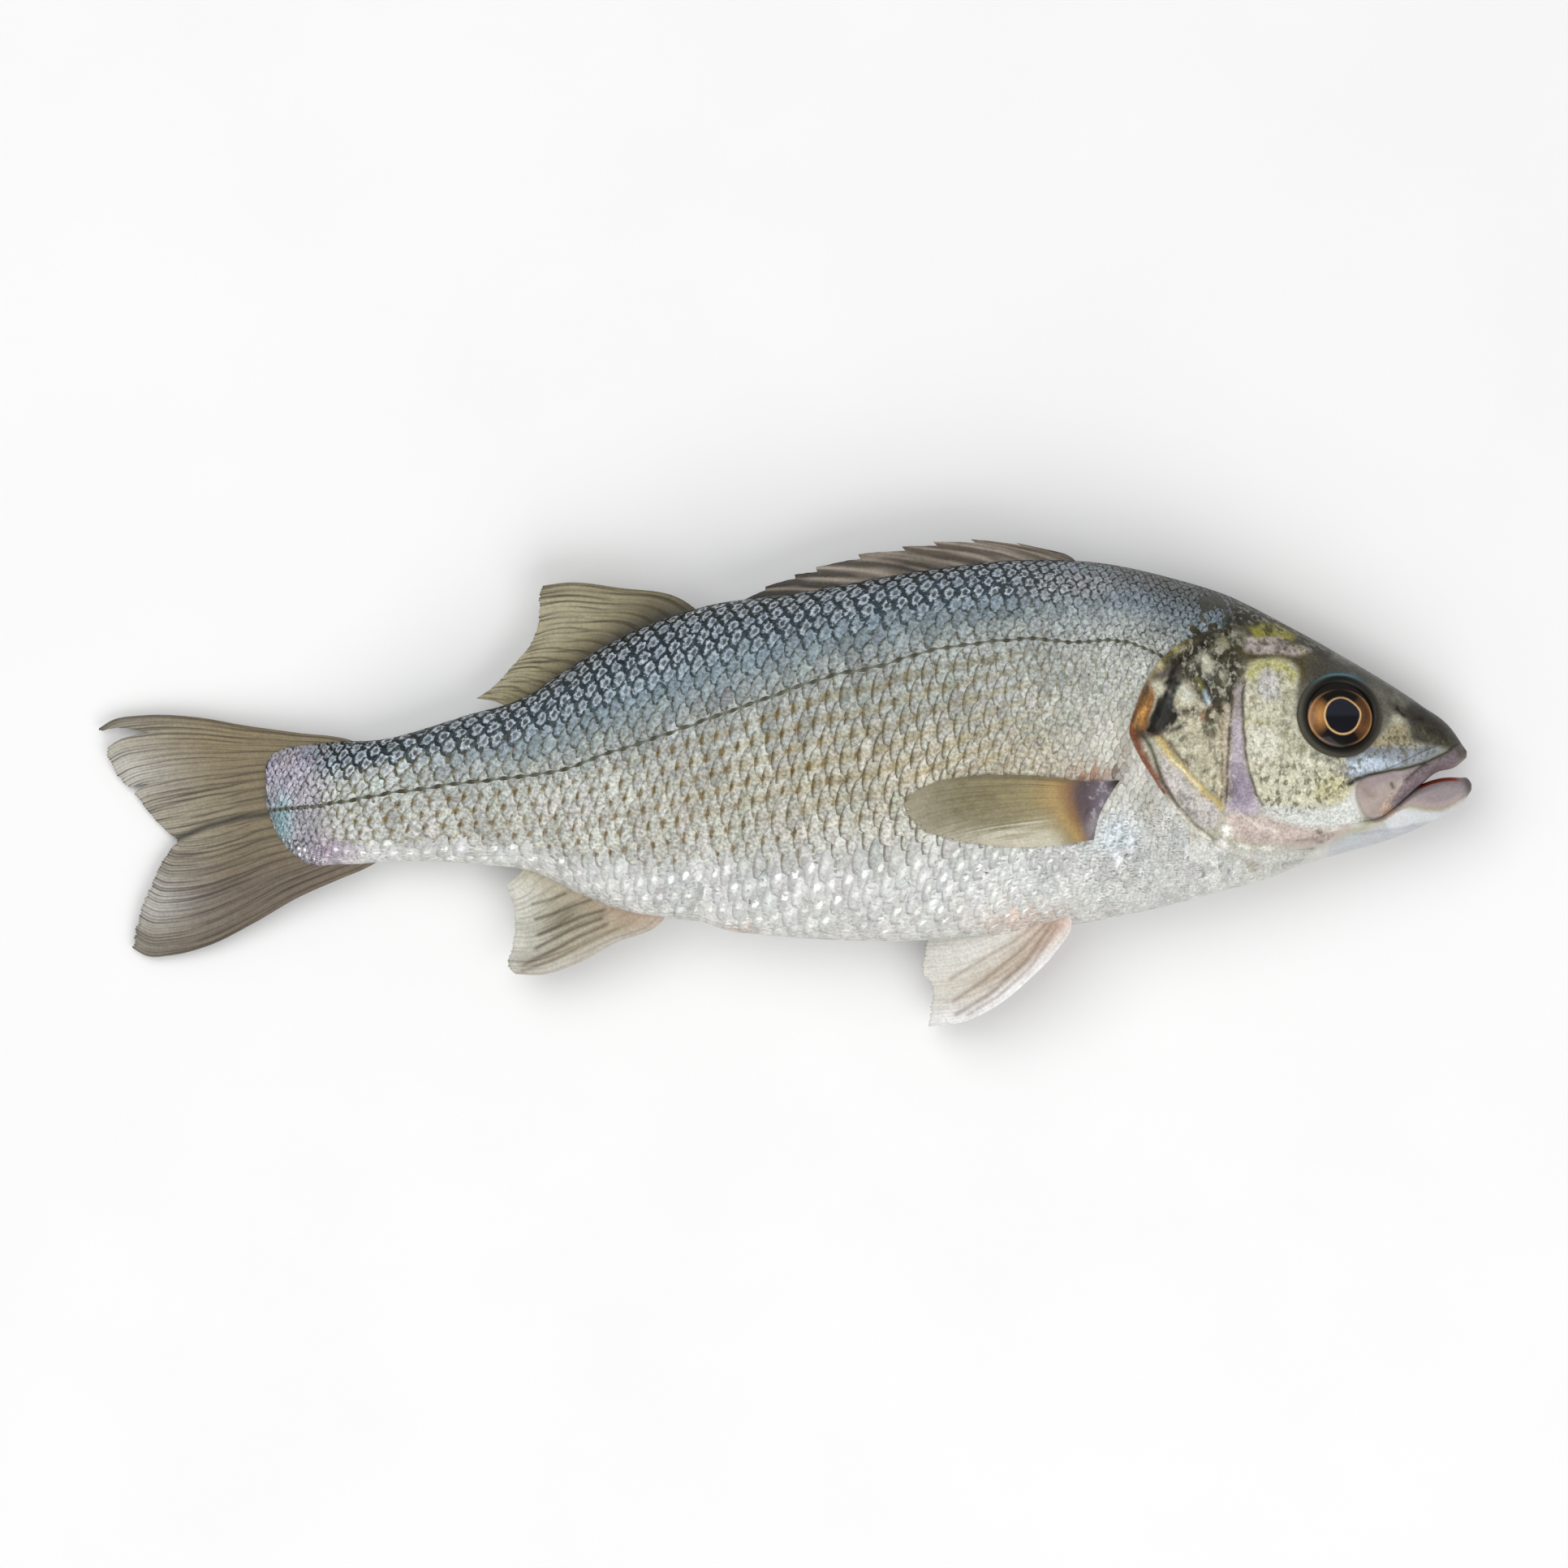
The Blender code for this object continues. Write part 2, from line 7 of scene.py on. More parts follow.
import bpy
import numpy as np
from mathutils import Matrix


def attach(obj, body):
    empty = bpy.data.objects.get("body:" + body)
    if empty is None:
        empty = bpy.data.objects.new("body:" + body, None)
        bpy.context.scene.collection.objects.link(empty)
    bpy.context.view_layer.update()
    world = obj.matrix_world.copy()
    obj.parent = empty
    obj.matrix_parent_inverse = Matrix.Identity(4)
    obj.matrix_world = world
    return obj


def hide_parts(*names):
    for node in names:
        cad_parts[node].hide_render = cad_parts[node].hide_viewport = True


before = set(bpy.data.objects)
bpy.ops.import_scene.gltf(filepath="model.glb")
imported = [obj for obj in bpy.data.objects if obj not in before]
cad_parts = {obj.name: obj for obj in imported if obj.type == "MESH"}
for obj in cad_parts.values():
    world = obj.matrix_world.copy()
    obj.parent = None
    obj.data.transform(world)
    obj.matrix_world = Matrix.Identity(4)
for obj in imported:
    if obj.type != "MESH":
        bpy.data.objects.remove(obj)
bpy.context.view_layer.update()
print("loaded the packed fish")

sideNames = {1: "right", -1: "left"}

# The fish's form, as in the solid: side outlines as (x, y), thickness and height along x.
fishForm = dict(
    back=[
        (-113.1, 3.6), (-112.2, 5.6), (-110.0, 7.2), (-106.0, 8.2), (-99.8, 8.9), (-87.5, 9.5), (-69.8, 14.5),
        (-56.2, 18.8), (-46.0, 25.5), (-33.1, 32.8), (-16.3, 38.6), (1.9, 41.1), (24.3, 45.2),
        (52.5, 48.5), (67.9, 48.0), (85.5, 44.3), (96.1, 41.0), (110.3, 33.9), (124.4, 26.0),
        (138.5, 17.1), (145.6, 11.5), (148.9, 6.5),
    ],
    belly=[
        (-113.1, -3.6), (-111.8, -8.4), (-109.0, -13.4), (-105.4, -16.8), (-96.0, -17.8), (-84.0, -17.0),
        (-66.3, -17.7), (-54.3, -19.4), (-44.6, -24.0), (-35.8, -27.5), (-24.1, -29.5),
        (-16.9, -30.4), (-12.4, -32.0), (-6.3, -32.8), (11.4, -34.1), (32.6, -34.1),
        (46.7, -33.0), (67.9, -30.0), (82.0, -27.0), (96.1, -23.3), (103.2, -21.4), (112.0, -17.8),
    ],
    upperJawEdge=[
        (112.0, -17.8), (119.0, -13.4), (125.5, -9.4), (130.4, -8.0), (133.0, -5.8),
        (138.5, -0.6), (141.5, 2.0), (146.6, 3.8), (148.9, 5.8),
    ],
    lowerJawTop=[
        (105.0, -9.0), (112.0, -9.5), (122.6, -7.1), (130.4, -6.2), (133.0, -4.4),
        (138.5, -0.4), (142.0, 0.9), (147.3, 1.2), (149.1, 0.9), (149.9, -0.4),
    ],
    lowerJawBottom=[
        (105.0, -20.8), (112.0, -18.2), (120.9, -15.4), (131.4, -12.4), (138.5, -9.6),
        (142.0, -7.8), (145.6, -5.8), (148.2, -3.9), (149.9, -1.2),
    ],
    halfThickness=[
        (-113.1, 1.3), (-111.0, 2.3), (-104.0, 3.6), (-92.0, 5.6), (-78.0, 7.8), (-60.0, 11.2),
        (-40.0, 14.8), (-20.0, 17.2), (0.0, 19.2), (20.0, 20.2), (42.0, 20.4), (64.0, 19.8),
        (82.0, 18.6), (98.0, 17.0), (112.0, 14.9), (124.0, 12.3), (134.0, 9.7), (141.0, 7.2),
        (146.0, 4.9), (149.0, 2.6), (150.0, 1.2),
    ],
    middleHeight=[
        (-150.0, 3.4), (-130.0, 4.6), (-113.0, 6.4), (-92.0, 9.6), (-60.0, 14.2), (-30.0, 17.6),
        (0.0, 18.8), (35.0, 19.4), (70.0, 19.3), (100.0, 18.6), (130.0, 17.6), (150.0, 16.4),
    ],
    sectionPower=2.25,
    widestAboveMiddle=0.12,
    lipRounding=2.6,
    tableClearance=0.02,
)

# The dark dotted line along the flank, which the rows of scales follow.
flankLine = [
    (-132.7, -12.2), (-125.6, -8.8), (-112.9, -6.2), (-99.0, -4.6), (-89.3, -2.8), (-78.7, -1.2),
    (-71.6, -0.2), (-58.2, 1.4), (-47.2, 3.2), (-40.2, 5.8), (-31.0, 8.7), (-15.1, 14.3),
    (-1.7, 19.1), (9.6, 23.0), (20.9, 25.4), (32.2, 28.8), (45.8, 30.7), (52.5, 31.4),
    (62.6, 30.5), (74.8, 30.5), (83.6, 27.0), (100.0, 26.0), (112.0, 25.5),
]


# Cubic pieces through the values, h = (1+2p)(1-p)^2 a + p(1-p)^2 s a' + p^2(3-2p) b + p^2(p-1) s b'.
def hermite(places, values, at):
    slopes = np.gradient(values, places, axis=0)
    low = np.clip(np.searchsorted(places, at, side="right") - 1, 0, len(places) - 2)
    step = places[low + 1] - places[low]
    part = np.clip((at - places[low]) / step, 0.0, 1.0)
    if values.ndim == 2:
        step = step[..., None]
        part = part[..., None]
    return (
        (1 + 2 * part) * (1 - part) ** 2 * values[low]
        + part * (1 - part) ** 2 * step * slopes[low]
        + part ** 2 * (3 - 2 * part) * values[low + 1]
        + part ** 2 * (part - 1) * step * slopes[low + 1]
    )


# y as a smooth function of x through the points.
def smooth(points, at):
    points = np.asarray(points, float)
    return hermite(points[:, 0], points[:, 1], np.asarray(at, float))


# Points at the given shares of an outline's length.
def along(points, shares):
    points = np.asarray(points, float)
    lengths = np.r_[0.0, np.cumsum(np.linalg.norm(np.diff(points, axis=0), axis=1))]
    return hermite(lengths / lengths[-1], points, np.asarray(shares, float))


# 3t^2 - 2t^3 of a value held between 0 and 1.
def ease(value):
    held = np.clip(value, 0.0, 1.0)
    return held * held * (3 - 2 * held)


latticeSize = 256         # cells after which the noise repeats
latticeStart = 1000.0     # keeps places on the lattice positive


# Smooth noise between -1 and 1: seeded values on a lattice, blended by ease in both directions.
def softNoise(x, y, size, seed):
    lattice = np.random.default_rng(seed).uniform(-1.0, 1.0, (latticeSize + 1, latticeSize + 1))
    across, up = np.asarray(x) / size + latticeStart, np.asarray(y) / size + latticeStart
    i, j = np.floor(across).astype(int), np.floor(up).astype(int)
    p, q = ease(across - i), ease(up - j)
    i, j = i % latticeSize, j % latticeSize
    low = lattice[i, j] * (1 - p) + lattice[i + 1, j] * p
    high = lattice[i, j + 1] * (1 - p) + lattice[i + 1, j + 1] * p
    return low * (1 - q) + high * q


# Distance of each place from a broken line: the least over its pieces of |place - nearest point|.
def distanceTo(line, x, y):
    line = np.asarray(line, float)
    least = np.full(np.shape(x), 1e9)
    for start, end in zip(line[:-1], line[1:]):
        run = end - start
        share = ((x - start[0]) * run[0] + (y - start[1]) * run[1]) / (run @ run)
        share = np.clip(share, 0.0, 1.0)
        gap = np.hypot(x - start[0] - share * run[0], y - start[1] - share * run[1])
        least = np.minimum(least, gap)
    return least


# 1 inside a smooth closed outline and 0 outside, easing over the softness: crossings tell the side.
def insideOf(outline, x, y, softness):
    closed = list(outline) + [outline[0]]
    ring = along(closed, np.linspace(0.0, 1.0, 6 * len(closed)))
    low, high = ring.min(axis=0) - softness, ring.max(axis=0) + softness
    near = (x > low[0]) & (x < high[0]) & (y > low[1]) & (y < high[1])
    px, py = x[near], y[near]
    inside = np.zeros(px.shape, bool)
    for (ax, ay), (bx, by) in zip(ring[:-1], ring[1:]):
        if ay != by:
            inside ^= ((ay > py) != (by > py)) & (px < (bx - ax) * (py - ay) / (by - ay) + ax)
    weight = np.zeros(np.shape(x))
    weight[near] = ease(distanceTo(ring, px, py) * np.where(inside, 1.0, -1.0) / softness + 0.5)
    return weight


# A soft ridge or groove along a line: exp(-(distance / width)^2).
def ridgeOn(line, x, y, width):
    return np.exp(-(distanceTo(line, x, y) / width) ** 2)


# Screen colour #rrggbb as linear light: ((c + 0.055) / 1.055)^2.4.
def paint(code):
    value = np.array([int(code[k:k + 2], 16) for k in (1, 3, 5)]) / 255.0
    return np.where(value <= 0.04045, value / 12.92, ((value + 0.055) / 1.055) ** 2.4)


# One colour at every place of a grid.
def flatColour(code, grid):
    return np.broadcast_to(paint(code), (*np.shape(grid), 3))


# Moves colours towards another by a weight: c + (target - c) weight.
def mixed(colours, code, weight):
    target = paint(code) if isinstance(code, str) else code
    return colours + (target - colours) * np.asarray(weight)[..., None]


# Lower outline of the whole head and body, with the mouth shut into it.
def wholeBottom(x):
    return np.where(x < 108.0, smooth(fishForm["belly"], x), smooth(fishForm["lowerJawBottom"], x))


# Half thickness = widest * sqrt(1 - |share|^power), where share runs from -1 at the belly to 1 at
# the back and is moved by 0.12 (1 - share^2), so that the widest point lies above the middle.
def halfThickness(x, y):
    top = smooth(fishForm["back"], np.minimum(x, 147.9))
    bottom = wholeBottom(x)
    share = np.clip((2 * y - top - bottom) / (top - bottom), -1.0, 1.0)
    share = share - fishForm["widestAboveMiddle"] * (1 - share ** 2)
    widest = smooth(fishForm["halfThickness"], x)
    return widest * np.sqrt(1 - np.abs(share) ** fishForm["sectionPower"])


# Height of the fish's middle plane at x.
def middleHeight(x):
    return smooth(fishForm["middleHeight"], x)


# Faces of a grid of points: neighbours (i, j), (i, j+1), (i+1, j+1), (i+1, j) make one.
def gridFaces(rows, columns, wrap=False, turned=False):
    index = np.arange(rows * columns).reshape(rows, columns)
    if wrap:
        index = np.concatenate([index, index[:, :1]], axis=1)
    faces = np.stack([index[:-1, :-1], index[:-1, 1:], index[1:, 1:], index[1:, :-1]], axis=-1)
    faces = faces.reshape(-1, 4)
    return faces[:, ::-1] if turned else faces


# Faces of a thin closed shell: an outer grid, an inner grid turned over, and a wall round the rim.
def shellFaces(rows, columns):
    outer = gridFaces(rows, columns)
    inner = outer[:, ::-1] + rows * columns
    index = np.arange(rows * columns).reshape(rows, columns)
    rim = np.r_[index[0, :-1], index[:-1, -1], index[-1, :0:-1], index[:0:-1, 0]]
    onward = np.roll(rim, -1)
    wall = np.stack([onward, rim, rim + rows * columns, onward + rows * columns], axis=-1)
    return np.concatenate([outer, inner, wall])


# Faces of a closed piece turned outwards: its volume, a sixth of the sum of a . (b x c) over all
# triangles, has to be above zero.
def facingOut(points, faces):
    corners = np.asarray(points).reshape(-1, 3)[faces]
    a, b, c, d = (corners[:, k] for k in range(4))
    volume = np.einsum("ij,ij->", a, np.cross(b, c) + np.cross(c, d))
    return faces if volume > 0 else faces[:, ::-1]


# Makes one finished piece from points in millimetres. A layer has a colour of 3 or 4 numbers at each
# point, or a vector in the layer called leaf.
def addPiece(name, points, faces, material, slot, **layers):
    mesh = bpy.data.meshes.new(name)
    faces = faces.tolist() if isinstance(faces, np.ndarray) else faces
    mesh.from_pydata((np.asarray(points).reshape(-1, 3) * 0.001).tolist(), [], faces)
    mesh.shade_smooth()
    for layer, values in layers.items():
        values = np.asarray(values, np.float32).reshape(len(mesh.vertices), -1)
        kind, key = ("FLOAT_VECTOR", "vector") if layer == "leaf" else ("FLOAT_COLOR", "color")
        if kind == "FLOAT_COLOR" and values.shape[1] == 3:
            values = np.concatenate([values, np.ones((len(values), 1), np.float32)], axis=1)
        mesh.attributes.new(layer, kind, "POINT").data.foreach_set(key, values.ravel())
    mesh.materials.append(material)
    piece = bpy.data.objects.new(name, mesh)
    bpy.context.scene.collection.objects.link(piece)
    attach(piece, "root")
    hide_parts("fish")
    return piece


# One shader node: its settings first, then each input by name, or by number as i0, i1 and so on. An
# input is linked where it gets a socket, and gets a fixed value otherwise.
def addNode(tree, kind, settings=None, **inputs):
    node = tree.nodes.new(kind)
    for key, value in (settings or {}).items():
        setattr(node, key, value)
    for key, value in inputs.items():
        socket = node.inputs[int(key[1:])] if key[0] == "i" and key[1:].isdigit() else node.inputs[key]
        if isinstance(value, bpy.types.NodeSocket):
            tree.links.new(value, socket)
        else:
            socket.default_value = value
    return node


# One number from up to three: operation(first, second, third).
def mathNode(tree, operation, first, second=0.0, third=0.0):
    made = addNode(tree, "ShaderNodeMath", dict(operation=operation), i0=first, i1=second, i2=third)
    return made.outputs[0]


# Two colours into one: (1 - weight) first + weight second, or their product where blend says so.
def mixNode(tree, weight, first, second, blend="MIX"):
    made = addNode(tree, "ShaderNodeMix", dict(data_type="RGBA", blend_type=blend), i0=weight)
    for socket, value in ((made.inputs[6], first), (made.inputs[7], second)):
        if isinstance(value, bpy.types.NodeSocket):
            tree.links.new(value, socket)
        else:
            socket.default_value = (*value, 1.0) if len(value) == 3 else value
    return made.outputs[2]


# Eases from 0 at one value to 1 at the other.
def stepNode(tree, value, start, end):
    settings = dict(interpolation_type="SMOOTHSTEP")
    return addNode(tree, "ShaderNodeMapRange", settings, i0=value, i1=start, i2=end).outputs[0]


# Noise between 0 and 1 whose lumps are about size millimetres across, and longer along an axis whose
# stretch, which multiplies the place, is below 1.
def noiseNode(tree, place, size, detail=3.0, roughness=0.55, stretch=None):
    if stretch:
        settings = dict(operation="MULTIPLY")
        place = addNode(tree, "ShaderNodeVectorMath", settings, i0=place, i1=stretch).outputs[0]
    waves = dict(Scale=1000.0 / size, Detail=detail, Roughness=roughness)
    return addNode(tree, "ShaderNodeTexNoise", Vector=place, **waves).outputs["Fac"]


# Shared start of every finish: a shader whose fixed values stand on its own sockets.
def startMaterial(name, finish):
    material = bpy.data.materials.new(name)
    material.use_nodes = True
    tree = material.node_tree
    shader = tree.nodes["Principled BSDF"]
    for key in ("Metallic", "Coat Weight", "Coat Roughness", "Specular IOR Level"):
        shader.inputs[key].default_value = finish[key]
    place = addNode(tree, "ShaderNodeTexCoord").outputs["Object"]
    return material, tree, shader, place


# Reads a layer of the mesh: its colour, vector or alpha at each place.
def layerNode(tree, name):
    return addNode(tree, "ShaderNodeAttribute", dict(attribute_name=name))


# A value between two others as noise passes its usual reach: low + (high - low) (noise - from) / width.
def spreadNode(tree, noise, start, end, low, high):
    return addNode(tree, "ShaderNodeMapRange", None, i0=noise, i1=start, i2=end, i3=low, i4=high).outputs[0]


# Mottles a colour by noise: colour * (1 + depth * m), where m goes from -1 to 1 as the noise goes from
# 0.34 to 0.66.
def mottled(tree, colour, place, size, depth, detail=4.0):
    noise = noiseNode(tree, place, size, detail)
    factor = spreadNode(tree, noise, 0.34, 0.66, 1 - depth, 1 + depth)
    grey = addNode(tree, "ShaderNodeCombineColor", None, i0=factor, i1=factor, i2=factor).outputs[0]
    return mixNode(tree, 1.0, colour, grey, "MULTIPLY")


# Wetness and grain: roughness goes from its low to its high value with a wide noise, and the height
# of the bump is a fine noise.
def finishSurface(tree, shader, place, finish):
    wet = noiseNode(tree, place, finish["wetSize"], 3.0)
    tree.links.new(spreadNode(tree, wet, 0.3, 0.7, *finish["roughness"]), shader.inputs["Roughness"])
    grain = noiseNode(tree, place, finish["grainSize"], 5.0, 0.6)
    bump = addNode(tree, "ShaderNodeBump", None, Strength=finish["grainDepth"], Distance=0.0002, Height=grain)
    tree.links.new(bump.outputs[0], shader.inputs["Normal"])


# Skin whose colour is in the "tint" layer. The "marks" layer says where dark specks, dark blotches
# and painted glints show, each of them where a noise passes from its low to its high value.
def skinMaterial(name, finish):
    material, tree, shader, place = startMaterial(name, finish)
    colour = layerNode(tree, "tint").outputs["Color"]
    marks = addNode(tree, "ShaderNodeSeparateColor", None, i0=layerNode(tree, "marks").outputs["Color"])
    for share, (size, stretch, low, high, code) in zip(marks.outputs, finish.get("marks", [])):
        there = stepNode(tree, noiseNode(tree, place, size, 3.0, 0.6, stretch), low, high)
        colour = mixNode(tree, mathNode(tree, "MULTIPLY", there, share), colour, tuple(paint(code)))
    colour = mottled(tree, colour, place, finish["speckSize"], finish["speckDepth"])
    colour = mottled(tree, colour, place, finish["speckSize"] * 4.5, finish["speckDepth"] * 0.5)
    tree.links.new(colour, shader.inputs["Base Color"])
    finishSurface(tree, shader, place, finish)
    return material


headFinish = {
    "Metallic": 0.0, "Coat Weight": 0.05, "Coat Roughness": 0.18, "Specular IOR Level": 0.16,
    "roughness": (0.32, 0.55), "wetSize": 5.0, "grainSize": 0.7, "grainDepth": 0.3,
    "speckSize": 0.6, "speckDepth": 0.26,
    "marks": [
        (1.15, (1.0, 0.75, 1.0), 0.47, 0.63, "#5c583f"),
        (2.00, (1.0, 0.55, 1.0), 0.45, 0.62, "#38331f"),
        # The third mark is painted glint: small pale spots of light on the wet skin.
        (1.30, (1.0, 0.70, 1.0), 0.48, 0.65, "#e2e0cf"),
    ],
}
smoothFinish = dict(headFinish, grainDepth=0.1, speckDepth=0.08)
finFinish = {
    "Metallic": 0.0, "Coat Weight": 0.10, "Coat Roughness": 0.3, "Specular IOR Level": 0.3,
    "roughness": (0.42, 0.62), "wetSize": 4.0, "grainSize": 0.5, "grainDepth": 0.25,
    "speckSize": 0.6, "speckDepth": 0.12,
}
eyeFinish = {
    "Metallic": 0.0, "Coat Weight": 0.25, "Coat Roughness": 0.05, "Specular IOR Level": 0.12,
    "roughness": (0.2, 0.3), "wetSize": 3.0, "grainSize": 0.8, "grainDepth": 0.04,
    "speckSize": 0.5, "speckDepth": 0.10,
}
headSkinMaterial = skinMaterial("headSkin", headFinish)
smoothSkinMaterial = skinMaterial("smoothWetSkin", smoothFinish)
finMaterial = skinMaterial("rayedFin", finFinish)
eyeMaterial = skinMaterial("eyeGloss", eyeFinish)


# Scales: spacing along a row, distance between rows in three zones, and the plate of one scale.
scaleRows = dict(
    spacing=[
        (-113, 1.15), (-106, 1.4), (-100, 2.0), (-94, 3.0), (-84, 3.8), (-70, 3.7), (-52, 3.25), (-20, 3.4),
        (8, 3.6), (34, 3.5), (52, 2.8), (68, 2.1), (84, 1.75), (112, 1.5),
    ],
    pitchAbove=[
        (-113, 1.1), (-106, 1.4), (-100, 1.8), (-90, 2.5), (-70, 2.9), (-30, 3.2), (-7, 3.3), (34, 3.4),
        (54, 2.8), (70, 2.2), (90, 1.8), (112, 1.6),
    ],
    pitchBelow=[
        (-113, 1.2), (-106, 1.5), (-100, 1.9), (-90, 2.6), (-70, 3.0), (-40, 3.5), (-7, 4.2), (19, 4.6),
        (38, 4.2), (54, 3.3), (70, 2.5), (90, 2.0), (112, 1.8),
    ],
    pitchLow=[
        (-113, 1.1), (-106, 1.4), (-100, 1.8), (-90, 2.5), (-70, 2.9), (-40, 4.0), (-7, 4.8), (19, 4.4),
        (38, 3.5), (54, 2.7), (70, 2.1), (90, 1.8), (112, 1.6),
    ],
    lowFrom=5,                # rows below the dark line before the low pitch starts
    lean=0.16,                # how far each row's scales lean forward at their tops
    reachBack=0.78,           # rear edge behind the scale's own place, in spacings
    reachFront=0.85,          # hidden root ahead of it
    halfHeight=1.04,          # in row distances
    lift=(0.02, 0.09),        # height above the skin at the root and at the rear edge
    edgeDrop=0.07,
    jitter=0.05,
    seed=11,
)
skinUnderScales = 0.30
skinStart, skinSplit, skinEnd = -113.0, 88.0, 148.6
flankStart, flankEnd = -113.0, 112.0
flankColumns, flankRows = 451, 321
pastMiddle = 0.5          # radians that the flank's curves go on past the middle lines


# Section curves of one flank, past both middle lines, laid out by arc length from the dark line.
def flankTable(side):
    stations = np.linspace(flankStart, flankEnd, flankColumns)
    angles = np.linspace(math.pi / 2 + pastMiddle, -math.pi / 2 - pastMiddle, flankRows)
    x = stations[:, None] + 0 * angles[None, :]
    top, bottom = smooth(fishForm["back"], x), smooth(fishForm["belly"], x)
    y = (top + bottom) / 2 + (top - bottom) / 2 * np.sin(angles)[None, :]
    out = np.where(np.cos(angles) >= 0, 1.0, -1.0)[None, :]
    z = middleHeight(x) + side * out * halfThickness(x, y)
    steps = np.hypot(np.diff(y, axis=1), np.diff(z, axis=1))
    arc = np.concatenate([np.zeros((len(stations), 1)), np.cumsum(steps, axis=1)], axis=1)
    share = np.linspace(0.0, 1.0, flankRows)
    total = arc[:, -1]
    points = np.empty((flankColumns, flankRows, 3))
    points[..., 0] = x
    topArc, lowArc, lineArc = (np.empty(len(stations)) for _ in range(3))
    lineY = smooth(flankLine, stations)
    right = np.abs(angles) <= math.pi / 2
    for k in range(len(stations)):
        points[k, :, 1] = np.interp(share * total[k], arc[k], y[k])
        points[k, :, 2] = np.interp(share * total[k], arc[k], z[k])
        topArc[k] = np.interp(-math.pi / 2, -angles, arc[k])
        lowArc[k] = np.interp(math.pi / 2, -angles, arc[k])
        lineArc[k] = np.interp(-lineY[k], -y[k, right], arc[k, right])
    alongX = np.gradient(points, axis=0)
    alongArc = np.gradient(points, axis=1)
    normal = np.cross(alongArc, alongX) * side
    normal /= np.linalg.norm(normal, axis=-1, keepdims=True) + 1e-9
    top, low = lineArc - topArc, lineArc - lowArc
    return dict(stations=stations, points=points, normal=normal, total=total, top=top, low=low, line=lineArc)


# Place on a flank: bilinear in the table at (x, arc above the dark line), plus lift along the normal.
def onFlank(table, x, arc, lift):
    stations = table["stations"]
    x = np.clip(x, stations[0], stations[-1] - 1e-6)
    i = (x - stations[0]) / (stations[1] - stations[0])
    low = np.floor(i).astype(int)
    part = (i - low)[..., None]
    share = (np.interp(x, stations, table["line"]) - arc) / np.interp(x, stations, table["total"])
    j = np.clip(share, 0.0, 0.999999) * (table["points"].shape[1] - 1)
    left = np.floor(j).astype(int)
    side = (j - left)[..., None]
    found = []
    for layer in (table["points"], table["normal"]):
        near = layer[low, left] * (1 - side) + layer[low, left + 1] * side
        far = layer[low + 1, left] * (1 - side) + layer[low + 1, left + 1] * side
        found.append(near * (1 - part) + far * part)
    points = found[0] + found[1] * np.asarray(lift)[..., None]
    points[..., 2] = np.maximum(points[..., 2], fishForm["tableClearance"])
    return points


# Arc above the dark line of a row: row * pitch, with a pitch of its own above and far below the line.
def rowArc(x, row):
    above = np.maximum(row, 0.0) * smooth(scaleRows["pitchAbove"], x)
    below = np.clip(-row, 0.0, scaleRows["lowFrom"]) * smooth(scaleRows["pitchBelow"], x)
    low = np.maximum(-row - scaleRows["lowFrom"], 0.0) * smooth(scaleRows["pitchLow"], x)
    return above - below - low


# How far forward scales reach: they end at the gill opening and at the nape.
scaleLimit = [
    (-40, 112), (-23, 104), (-18, 99.5), (-13, 93.5), (-7.6, 87.6), (-0.5, 82), (4.4, 78.6),
    (10.6, 76.4), (15.9, 77.6), (20, 79.4), (23.8, 81.6), (30.2, 87), (34, 95.5), (38, 99),
    (42, 100), (52, 99),
]

